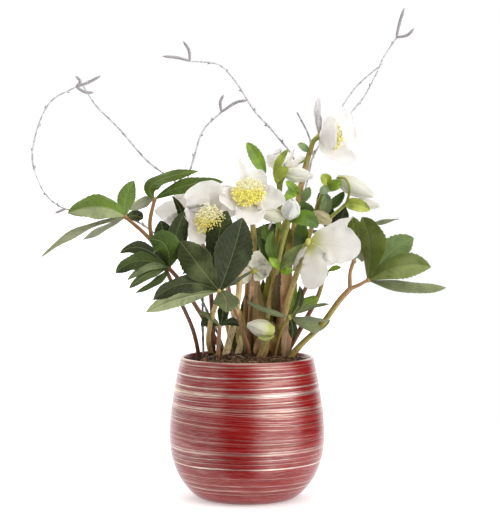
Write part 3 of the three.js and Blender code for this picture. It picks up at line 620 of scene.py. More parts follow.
def blend(stops, share):
    """Colours along a stem: stops are pairs of share and colour."""
    places, colours = zip(*stops)
    return np.stack([np.interp(share, places, part) for part in np.array(colours).T], -1)


def between(one, other, share):
    """Goes from one colour to the other as the share goes from 0 to 1."""
    return np.asarray(one) * (1 - share) + np.asarray(other) * share


def juicy_stem():
    paint = Finish("hellebore stem")
    along, across, _ = paint.plan()
    dye = paint.dye()
    drawn_out = paint.node("ShaderNodeCombineXYZ", {}, {0: along * 0.05, 1: across * 1.5, 2: 0})
    lines = paint.noise(1.0, place=drawn_out)
    cloud = paint.noise(90.0, 3.0)
    freckle = paint.drawn_noise(paint.place, (520, 520, 260), 2.0)
    tone = paint.mix(paint.band(lines, 0.3, 0.7, 0.32, 0.0), dye, (0.03, 0.018, 0.006))
    tone = paint.mix(paint.band(cloud, 0.45, 0.75, 0.0, 0.3), tone, RED_BROWN)
    tone = paint.mix(paint.band(lines, 0.55, 0.7, 0.0, 0.25), tone, seen(206, 186, 140))
    tone = paint.mix(paint.band(freckle, 0.57, 0.68, 0.0, 0.55), tone, DARK_BROWN)
    relief = paint.bump(lines + freckle * 0.4, 0.5, 0.0004)
    return paint.surface(
        Base_Color=tone, Roughness=paint.band(cloud, 0.3, 0.7, 0.38, 0.55), Normal=relief,
        Subsurface_Weight=0.12, Subsurface_Radius=(0.8, 0.6, 0.25), Subsurface_Scale=0.0015,
    )


def bract_skin():
    paint = Finish("bract")
    _, across, share = paint.plan()
    dye = paint.dye()
    fan = (share * 5.5 + paint.noise(60.0) * 0.8).math("FRACT")
    vein = paint.band(abs(fan - 0.5), 0.02, 0.22, 1.0, 0.0)
    midrib = paint.band(abs(across), 0.2, 0.6, 1.0, 0.0)
    cloud = paint.noise(120.0, 4.0)
    patch = paint.noise(55.0, 2.0)
    pale = paint.mix(1.0, dye, (1.5, 1.5, 1.25), "MULTIPLY")
    deep = paint.mix(1.0, dye, (0.36, 0.42, 0.36), "MULTIPLY")
    tone = paint.mix(paint.band(cloud, 0.42, 0.66, 0.0, 0.6), dye, pale)
    tone = paint.mix(paint.band(patch, 0.4, 0.62, 0.8, 0.0), tone, deep)
    tone = paint.mix(vein * 0.4, tone, deep)
    tone = paint.mix(midrib * 0.3, tone, pale)
    tone = paint.mix(paint.band(abs(share), 0.86, 1.0, 0.0, 0.5), tone, deep)
    rough = paint.band(cloud, 0.3, 0.7, 0.42, 0.58)
    return paint.surface(
        Base_Color=tone, Roughness=rough, Normal=paint.bump(vein + cloud, 0.4, 0.0003),
        Subsurface_Weight=0.25, Subsurface_Radius=(0.9, 1.0, 0.3), Subsurface_Scale=0.0015,
    )


STEM_PAINT = juicy_stem()
BRACT_PAINT = bract_skin()

# Shares of the half width where a blade has a line of points: close at the midrib and at the edges.
ACROSS = np.array([0.05, 0.12, 0.22, 0.34, 0.47, 0.6, 0.73, 0.85, 0.94, 1.0])
ACROSS = np.concatenate([-ACROSS[::-1], [0.0], ACROSS])


def outline(rise, fall, least):
    """Half width along a blade, 1 at the widest: rise and fall set how full its base and its tip are."""
    widest = rise / (rise + fall)
    peak = widest**rise * (1 - widest) ** fall
    return lambda t: np.maximum(least, t**rise * np.clip(1 - t, 0, 1) ** fall / peak)


def round_edge(lower, upper):
    """Rings that run across the lower side of a thin shape and back over its upper side."""
    return np.concatenate([lower, upper[:, ::-1]], 1)


def blade(form, spine, face, half, lift, thick, dye, under_dye, rows, twist=0.0, finish=0):
    """A thin closed blade along a spine of base, middle and tip. half(t) is its half width,
    lift(t, s, half) how far a point stands above the spine on the side that it faces, and thick(t, s) its
    thickness. t goes from 0 at the base to 1 at the tip and s from -1 to 1 across. A dye is a colour, or a
    function of t and s."""
    base, middle, tip = np.asarray(spine, float)
    control = 2 * middle - (base + tip) / 2
    t = np.linspace(0, 1, rows)[:, None]
    centre = (1 - t) ** 2 * base + 2 * t * (1 - t) * control + t**2 * tip
    ahead = unit((1 - t) * (control - base) + t * (tip - control))
    side = unit(np.cross(face, ahead))
    normal = np.cross(ahead, side)
    cosine, sine = np.cos(twist * (t - 0.3)), np.sin(twist * (t - 0.3))
    side, normal = cosine * side + sine * normal, cosine * normal - sine * side
    s = ACROSS[None]
    wide = half(t)
    flat = centre[:, None] + side[:, None] * (s * wide)[..., None]
    raised = lift(t, s, wide)
    body = thick(t, s) / 2 + 0 * raised
    upper = flat + normal[:, None] * (raised + body)[..., None]
    lower = flat + normal[:, None] * (raised - body)[..., None]
    length = np.linalg.norm(np.diff(centre, axis=0), axis=1).sum()
    plan = np.stack(np.broadcast_arrays(t * length, s * wide, s), -1)
    tints = [tint(t, s) if callable(tint) else tint for tint in (under_dye, dye)]
    dyes = [np.broadcast_to(tint, plan.shape) for tint in tints]
    under = round_edge(np.ones_like(s), np.zeros_like(s))
    form.skin(round_edge(lower, upper), round_edge(plan, plan), round_edge(*dyes), under, finish)


def bract(form, spine, width, face, seed, dye=BRACT_GREEN):
    """A small entire leaf with veins that run from its base to its tip."""
    shape = outline(0.8, 0.7, 0.08)

    def half(t):
        saw = (t * 9 + seed * 0.37) % 1
        return width / 2 * shape(t) * (1.03 + 0.2 * (0.5 - saw) * np.clip(t * 3 - 1, 0, 1))

    def lift(t, s, wide):
        wave = 0.14 * wide * s**2 * np.sin(t * 9 + seed * 2.1 + s * 1.3)
        veins = 0.06 * np.cos(s * 17) * np.sin(t * math.pi)
        groove = -0.3 * np.exp(-((s * wide / 0.7) ** 2)) * (1 - t)
        return BRACT_CUP * s**2 * wide + wave + veins + groove

    def thick(t, s):
        return 0.45 + 0.7 * np.exp(-t / 0.08) - 0.25 * s**2

    blade(form, spine, face, half, lift, thick, dye, BRACT_PALE, BRACT_ROWS, BRACT_TWIST, finish=1)


def planted(route):
    """The route with a start that stands down in the soil."""
    return [(*route[0][:2], STEM_FOOT), *route]


def stem(form, route, radii, colours, seed, rooted=True, sides=STEM_SIDES):
    points, run = line(planted(route) if rooted else route, STEM_STEP)
    share = run / run[-1]
    angle = np.linspace(0, 2 * math.pi, sides, endpoint=False)
    ribs = 1 + 0.035 * np.cos(5 * angle + seed) + 0.02 * np.cos(9 * angle + share[:, None] * 3)
    radius = np.interp(share, [0, 1], radii) * (1 + 0.05 * ripple(points, 16, seed))
    if rooted:
        radius = radius * (1 + 0.22 * np.exp(-run / 9))
    rings = tube(points, radius[:, None] * ribs, sides)
    plan = np.stack(np.broadcast_arrays(run[:, None], np.abs(angle - math.pi) * radii[0], 0.0), -1)
    form.skin(rings, plan, blend(colours, share)[:, None])


FLOWER_TOP = (67, 2, 337)
FLOWER_FRONT = (1, -24, 281)
FLOWER_LEFT = (-30, -22, 264)
FLOWER_BACK = (-58, -2, 267)
FLOWER_NODDING = (56, -34, 240)
FLOWER_SMALL = (7, -13, 213)
FLOWER_UPPER = (31, -4, 304)

# A stem is its route, radii, colours along it, side arms (route and radii) and bracts (spine, width, the
# way it faces and perhaps a colour).
STEMS = {
    "flower_top_stem": (
        [(30, 10, 133), (36, 6, 184), (43, 8, 245), (51, 6, 295), (59, 3, 325), (62, 2, 333), FLOWER_TOP],
        (3.6, 2.3),
        ((0, PINK_BROWN), (0.45, seen(128, 96, 48)), (0.6, TAN), (0.8, TAN), (0.93, OLIVE), (1, FRESH)), [],
        [
            ([(35, 8, 136), (36, 4, 168), (42, 4, 200)], 12, (0.1, -1, 0), OLIVE),
            ([(58, 3, 323), (52, -1, 327), (47, -3, 330)], 7, (0, -1, 0.3), BRACT_GREY),
            ([(56, 3, 315), (50, 0, 315), (45, -2, 311)], 6, (0, -1, 0.2)),
            ([(48, 9, 275), (54, 4, 282), (58, 2, 290)], 9, (0, -1, 0.3), BRACT_GREY),
            ([(47, 5, 262), (53, -5, 267), (58, -8, 274)], 11, (0, -1, 0.2), BRACT_DEEP),
            ([(47, 0, 282), (43, -14, 288), (36, -16, 296)], 9, (0, -1, 0.2), BRACT_LIME),
            ([(47, 0, 284), (41, -19, 284), (35, -22, 277)], 9, (0, -1, 0.2), BRACT_LIME),
        ],
    ),
    "flower_front_stem": (
        [(0, 2, 131), (4, -4, 171), (6, -9, 210), (6, -13, 246), (4, -15, 268), FLOWER_FRONT],
        (3.2, 2.6), ((0, RED_BROWN), (0.3, PINK_BROWN), (0.6, TAN), (1, OLIVE)), [],
        [
            ([(8, 0, 138), (10, -8, 172), (7, -6, 206)], 11, (0.2, -1, 0), SHEATH_BROWN),
            ([(-4, -4, 131), (-5, -10, 152), (-7, -8, 178)], 10, (-0.2, -1, 0), TAN),
            ([(5, -4, 176), (6, -12, 196), (8, -14, 214)], 8, (0.2, -1, 0), SHEATH_PINK),
            ([(12, -14, 129), (13, -20, 142), (15, -18, 155)], 14, (0, -1, 0), SHEATH_PINK),
            ([(5, 8, 130), (6, 10, 152), (8, 10, 176)], 13, (0, -1, 0), SHEATH_DARK_AND_SHADE),
        ],
    ),
    "flower_left_stem": (
        [(-20, -6, 131), (-12, -14, 166), (-7, -18, 205), (-12, -14, 236), (-24, -12, 256), FLOWER_LEFT],
        (3.4, 2.2), ((0, STRAW), (0.3, STRAW), (0.6, TAN), (1, FRESH)), [], [],
    ),
    "flower_back_stem": (
        [(-32, 22, 132), (-33, 18, 176), (-38, 12, 222), (-48, 6, 255), FLOWER_BACK],
        (2.4, 1.7), ((0, DARK_BROWN), (0.6, RED_BROWN), (1, OLIVE)), [], [],
    ),
    "flower_nodding_stem": (
        [(23, -4, 131), (29, -8, 153), (42, -20, 200), (49, -27, 222), (53, -31, 236), FLOWER_NODDING],
        (3.2, 2.4), ((0, PINK_BROWN), (0.6, TAN), (1, FRESH)), [],
        [
            ([(27, -8, 130), (26, -16, 148), (23, -14, 166)], 13, (-0.1, -1, 0), SHEATH_BROWN),
            ([(35, -8, 130), (36, -15, 148), (39, -13, 166)], 10, (0.2, -1, 0), SHEATH_PINK),
        ],
    ),
    "flower_small_stem": (
        [(8, 12, 132), (10, 8, 175), (11, 2, 198), FLOWER_SMALL],
        (2.2, 1.6), ((0, OLIVE), (1, FRESH)), [],
        [
            ([(17, 6, 140), (19, 2, 175), (20, 4, 210)], 11, (0.1, -1, 0), OLIVE),
            ([(8, 14, 134), (13, 12, 165), (15, 11, 204)], 12, (0.1, -1, 0), SHEATH_DARK_AND_SHADE),
        ],
    ),
    "flower_upper_stem": (
        [(13, 20, 133), (18, 16, 185), (27, 10, 235), (31, 3, 275), (29, -3, 296), FLOWER_UPPER],
        (2.8, 1.9), ((0, PINK_BROWN), (0.5, OLIVE), (1, FRESH)),
        [([(31, 1, 282), (32, -6, 295), (36, -9, 303)], (1.5, 1.5))],
        [
            ([(21, 18, 134), (24, 15, 166), (27, 11, 206)], 13, (0.1, -1, 0), SHEATH_DARK_AND_SHADE),
            ([(17, -6, 301), (9, -9, 317), (0, -6, 331)], 12, (0, -1, 0.1)),
            ([(26, -6, 297), (29, -14, 312), (38, -16, 325)], 7, (-0.3, -1, 0), BRACT_YELLOW),
            ([(27, -6, 294), (31, -15, 303), (38, -17, 308)], 10, (-0.2, -1, 0), BRACT_YELLOW),
        ],
    ),
    "bud_round_stem": (
        [(16, 4, 132), (19, -4, 171), (28, -14, 216), (32, -21, 237), (39, -31, 262)],
        (2.8, 2.4), ((0, OLIVE), (0.5, TAN), (1, FRESH)), [],
        [
            ([(29, -15, 218), (19, -19, 230), (9, -20, 246)], 10, (0.1, -1, 0.1), BRACT_DEEP),
            ([(29, -15, 218), (22, -25, 234), (24, -27, 250)], 10, (-0.2, -1, 0)),
            ([(29, -15, 218), (21, -12, 236), (15, -10, 256)], 11, (0.1, -1, 0), seen(92, 120, 36)),
            ([(30, -15, 218), (31, -20, 232), (35, -22, 247)], 8, (0.1, -1, 0), BRACT_DEEP),
            ([(30, -18, 216), (26, -26, 220), (20, -28, 226)], 8, (0, -1, 0.4), BRACT_LIME),
            ([(31, -18, 215), (36, -24, 213), (41, -24, 217)], 7, (0, -1, 0.4), BRACT_LIME),
            ([(28, -15, 216), (41, -21, 226), (55, -22, 238)], 13, (0, -1, 0.3), seen(146, 160, 100)),
            ([(38, -30, 259), (53, -38, 262), (64, -36, 254)], 15, (0, -0.9, 0.45), seen(100, 130, 32)),
            ([(34, -24, 244), (28, -21, 256), (14, -21, 262)], 5, (0, -0.4, 1)),
            ([(34, 6, 216), (35, 4, 238), (36, 2, 262)], 12, (0, -1, 0), seen(150, 130, 62)),
            ([(34, -4, 172), (37, -10, 194), (35, -8, 219)], 13, (0, -1, 0), SHEATH_PINK),
            ([(25, -6, 170), (27, -12, 192), (29, -14, 214)], 7, (0.3, -1, 0), SHEATH_DARK_AND_SHADE),
            ([(40, -12, 176), (43, -14, 188), (42, -12, 198)], 8, (0, -1, 0), BRACT_LIME),
        ],
    ),
    "bud_right_stem": (
        [(24, 26, 132), (36, 20, 174), (50, 16, 217), (62, 10, 257), (66, 4, 274), (72, 0, 288)],
        (2.6, 1.9), ((0, PINK_BROWN), (0.7, TAN), (1, FRESH)),
        [
            ([(62, 10, 257), (72, 3, 258), (82, -3, 266), (92, -6, 275)], (1.8, 1.6)),
            ([(92, -6, 275), (94, -15, 284), (94, -20, 291), (90, -20, 298), (83, -13, 299)], (1.3, 1.0)),
        ],
        [
            ([(31, 21, 134), (38, 16, 166), (45, 15, 206)], 13, (0.1, -1, 0), SHEATH_BROWN),
            ([(91, -6, 274), (100, -16, 274), (113, -15, 269)], 12, (0, -1, 0.3), seen(186, 192, 84)),
            ([(73, 0, 270), (82, -2, 276), (90, -3, 286)], 9, (0, -1, 0.2), BRACT_DEEP),
            ([(48, 8, 224), (50, -2, 242), (49, -6, 262)], 13, (0, -1, 0.1), BRACT_DEEP),
            ([(77, -8, 292), (73, -12, 297), (69, -12, 302)], 10, (0, -1, 0.1), BRACT_YELLOW),
            ([(77, -8, 291), (72, -12, 288), (67, -12, 285)], 8, (0, -1, 0.1), BRACT_GREY),
            ([(72, 0, 287), (80, -15, 292), (87, -15, 294)], 10, (0, -1, 0.1), BRACT_LIME),
            ([(68, 4, 262), (73, -2, 273), (72, -4, 285)], 11, (0, -1, 0.1), BRACT_GREY),
            ([(63, 10, 259), (57, 2, 268), (49, -2, 276)], 10, (0, -1, 0.1), BRACT_DEEP),
        ],
    ),
    "bud_low_stem": (
        [(10, -22, 130), (15, -26, 143), (22, -32, 158)],
        (2.6, 2.4), ((0, PINK_BROWN), (1, FRESH)), [],
        [([(25, -36, 155), (18, -42, 153), (10, -43, 155)], 4, (0, -0.8, -0.6), seen(196, 206, 120))],
    ),
    "shoot_right": (
        [(36, 8, 131), (52, 0, 162), (65, -5, 187), (70, -6, 202)],
        (2.8, 1.8), ((0, RED_BROWN), (0.7, RED_BROWN), (1, OLIVE)), [],
        [
            ([(70, -6, 200), (71, -8, 208), (76, -7, 213)], 6, (0.3, -1, 0)),
            ([(75, -7, 212), (81, -9, 215), (87, -9, 216)], 5, (0, -1, 0.6)),
        ],
    ),
    "stalk_middle_dark": (
        [(26, 2, 132), (30, 0, 176), (31, 0, 211), (31, -3, 231)],
        (2.2, 1.8), ((0, RED_BROWN), (1, RED_BROWN)), [],
        [([(33, 6, 130), (36, 11, 150), (38, 12, 172)], 13, (0, -1, 0), SHEATH_DARK_AND_SHADE)],
    ),
    "stalk_middle_brown": (
        [(-4, 12, 132), (-2, 10, 171), (1, 6, 211), (2, 4, 232)],
        (2.2, 1.8), ((0, PINK_BROWN), (1, PINK_BROWN)), [],
        [([(-5, 15, 134), (-3, 13, 158), (-2, 12, 188)], 11, (0, -1, 0), SHEATH_DARK_AND_SHADE)],
    ),
    "stalk_crossing": (
        [(3, -12, 131), (0, -25, 148), (-7, -30, 168), (-13, -30, 184), (-17, -30, 202)],
        (1.7, 1.3), ((0, PINK_BROWN), (1, RED_BROWN)), [], [],
    ),
    "stalk_left_bent": (
        [(-9, -6, 131), (-6, -8, 146), (-10, -6, 163), (-16, 0, 185), (-20, 4, 210)],
        (3.1, 2), ((0, STRAW), (0.6, STRAW), (1, TAN)), [],
        [([(-9, 4, 130), (-8, 7, 148), (-6, 9, 168)], 13, (0, -1, 0), SHEATH_DARK_AND_SHADE)],
    ),
}

for seed, (name, (route, radii, colours, arms, bracts)) in enumerate(STEMS.items()):
    form = Form()
    stem(form, route, radii, colours, seed)
    for number, (arm, arm_radii) in enumerate(arms):
        arm_colours = ((0, colours[-1][1]), (1, FRESH))
        stem(form, arm, arm_radii, arm_colours, seed + number + 20, rooted=False, sides=ARM_SIDES)
    for number, (spine, width, face, *dye) in enumerate(bracts):
        bract(form, spine, width, face, seed + number * 3, *dye)
    form.become(name, "stems", STEM_PAINT, BRACT_PAINT)


# ======== leaves ========
# Leathery evergreen leaves, each cut into leaflets that spread from the end of its stalk. A leaflet is
# folded a little along its midrib, swells between its side veins, and has a few teeth towards its tip.
LEAF_ROWS = 52
VEIN_PITCH = 6.4  # between side veins, along the midrib
VEIN_SLANT = 0.7  # how far a side vein runs forward for each millimetre outward
VEIN_BOW = 0.035  # and for each square millimetre, so that it curves towards the tip
ARM_RADII = (2.0, 1.6)  # of the short arms that some leaflets stand on
JOINT_RADIUS = 2.2
MID_GREEN = seen(92, 116, 36)
DARK_GREEN = seen(34, 43, 14)
OLIVE_GREEN = seen(50, 57, 28)
BLUE_GREEN = seen(72, 82, 50)
GREY_GREEN = seen(104, 112, 78)
# painted highlight colour for the bright half of a leaflet
HIGHLIGHT_GREEN = seen(164, 170, 126)
LEAF_LIGHT = seen(176, 190, 128)
LEAF_SHADE = seen(20, 26, 12)
RIB_BROWN = seen(128, 104, 66)
ARM_BROWN = seen(146, 104, 66)
leaflet_outline = outline(1.0, 0.82, 0.05)


def leathery_leaf():
    paint = Finish("leathery leaf")
    along, across, share = paint.plan()
    dye = paint.dye()
    under = paint.mark("under", "Fac")
    out = abs(across)
    wander = (paint.noise(70.0) - 0.5) * 3.4
    phase = ((along - out * VEIN_SLANT - out * out * VEIN_BOW + wander) / VEIN_PITCH).math("FRACT")
    side_vein = paint.band(abs(phase - 0.5), 0.0, 0.085, 1.0, 0.0)
    side_vein = side_vein * paint.band(abs(share), 0.6, 0.95, 1.0, 0.0)
    midrib = paint.band(out, 0.2, 0.7, 1.0, 0.0)
    cells = {"Vector": paint.place, "Scale": 560.0}
    cell = paint.node("ShaderNodeTexVoronoi", {"feature": "DISTANCE_TO_EDGE"}, cells)
    net = paint.band(cell, 0.0, 0.14, 1.0, 0.0)
    cloud = paint.noise(80.0, 4.0, 0.6)
    patch = paint.noise(34.0, 2.0)
    fine = paint.noise(1400.0, 2.0)
    light = paint.mix(0.5, dye, LEAF_LIGHT)
    tone = paint.mix(paint.band(cloud, 0.3, 0.62, 0.55, 0.0), dye, paint.mix(0.6, dye, LEAF_SHADE))
    tone = paint.mix(paint.band(patch, 0.5, 0.72, 0.0, 0.28), tone, light)
    tone = paint.mix(net * 0.10, tone, light)
    tone = paint.mix(side_vein * 0.13, tone, light)
    tone = paint.mix(midrib * 0.32, tone, paint.mix(under, light, RIB_BROWN))
    tone = paint.mix(paint.band(abs(share), 0.95, 1.0, 0.0, 0.35), tone, light)
    relief = side_vein * -0.8 + net * -0.25 + midrib * -0.6 + cloud * 0.8 + fine * 0.2
    turned_relief = relief * (1 - under * 1.7)
    return paint.surface(
        Base_Color=tone,
        Roughness=paint.band(fine, 0.3, 0.7, 0.34, 0.44) + under * 0.2,
        Normal=paint.bump(turned_relief, 0.6, 0.0005),
        Specular_IOR_Level=0.12,
        Subsurface_Weight=0.08, Subsurface_Radius=(0.5, 0.9, 0.2), Subsurface_Scale=0.001,
    )


LEAF_PAINT = leathery_leaf()


def leaflet(form, spine, width, face, seed, dye, rows, under=GREY_GREEN, cup=-0.15, fold=0.1,
            bright_half=0, bright=HIGHLIGHT_GREEN, teeth=1.0):
    """One leaflet. bright_half is -1 or 1 for the half that gets a painted highlight: its upper side is
    mixed towards bright, as where the light catches one half of it more than the other.
    """
    rng = np.random.default_rng(seed)
    start = rng.uniform(0, 6.3, 4)
    notches = rng.integers(5, 8)
    waves = rng.uniform(9, 14)

    def half(t):
        saw = (t * (1 + 0.1 * t) * notches * 2.2 + 0.3) % 1
        toothed = np.clip((t - 0.35) / 0.15, 0, 1) * np.clip((0.99 - t) / 0.06, 0, 1)
        tooth = teeth * 0.085 * (0.5 - saw) * toothed
        return width / 2 * 1.04 * leaflet_outline(t) * (1 + tooth + 0.045 * np.sin(t * 11 + start[0]))

    def lift(t, s, wide):
        out = np.abs(s) * wide
        length = np.linalg.norm(np.asarray(spine[2], float) - spine[0])
        phase = (t * length - out * VEIN_SLANT - out**2 * VEIN_BOW) / VEIN_PITCH
        swell = 0.17 * np.cos(2 * math.pi * phase) * np.clip(out / 2, 0, 1) * (1 - s**4)
        wave = 0.13 * wide * np.abs(s) ** 3 * np.sin(t * waves + start[1] + 1.6 * np.sign(s))
        crease = -0.5 * np.exp(-((out / 0.9) ** 2)) * (1 - 0.6 * t)
        return cup * s**2 * wide + fold * np.abs(s) * wide + swell + wave + crease

    def thick(t, s):
        rib = 0.75 * np.exp(-((s * 8) ** 2)) * (1 - 0.75 * t)
        return 0.5 + rib + 0.9 * np.exp(-t / 0.05) - 0.28 * s**4

    def top_dye_and_highlight(t, s):
        # painted highlight: the bright half of the upper side is mixed towards the bright colour
        share = (np.clip(s * bright_half * 6, 0, 1) * 0.75 + 0 * t)[..., None]
        tone = np.asarray(dye) * (1 + 0.10 * np.sin(t * 5 + start[2]))[..., None]
        return between(tone, bright, share)

    blade(form, spine, face, half, lift, thick, top_dye_and_highlight, under, rows)


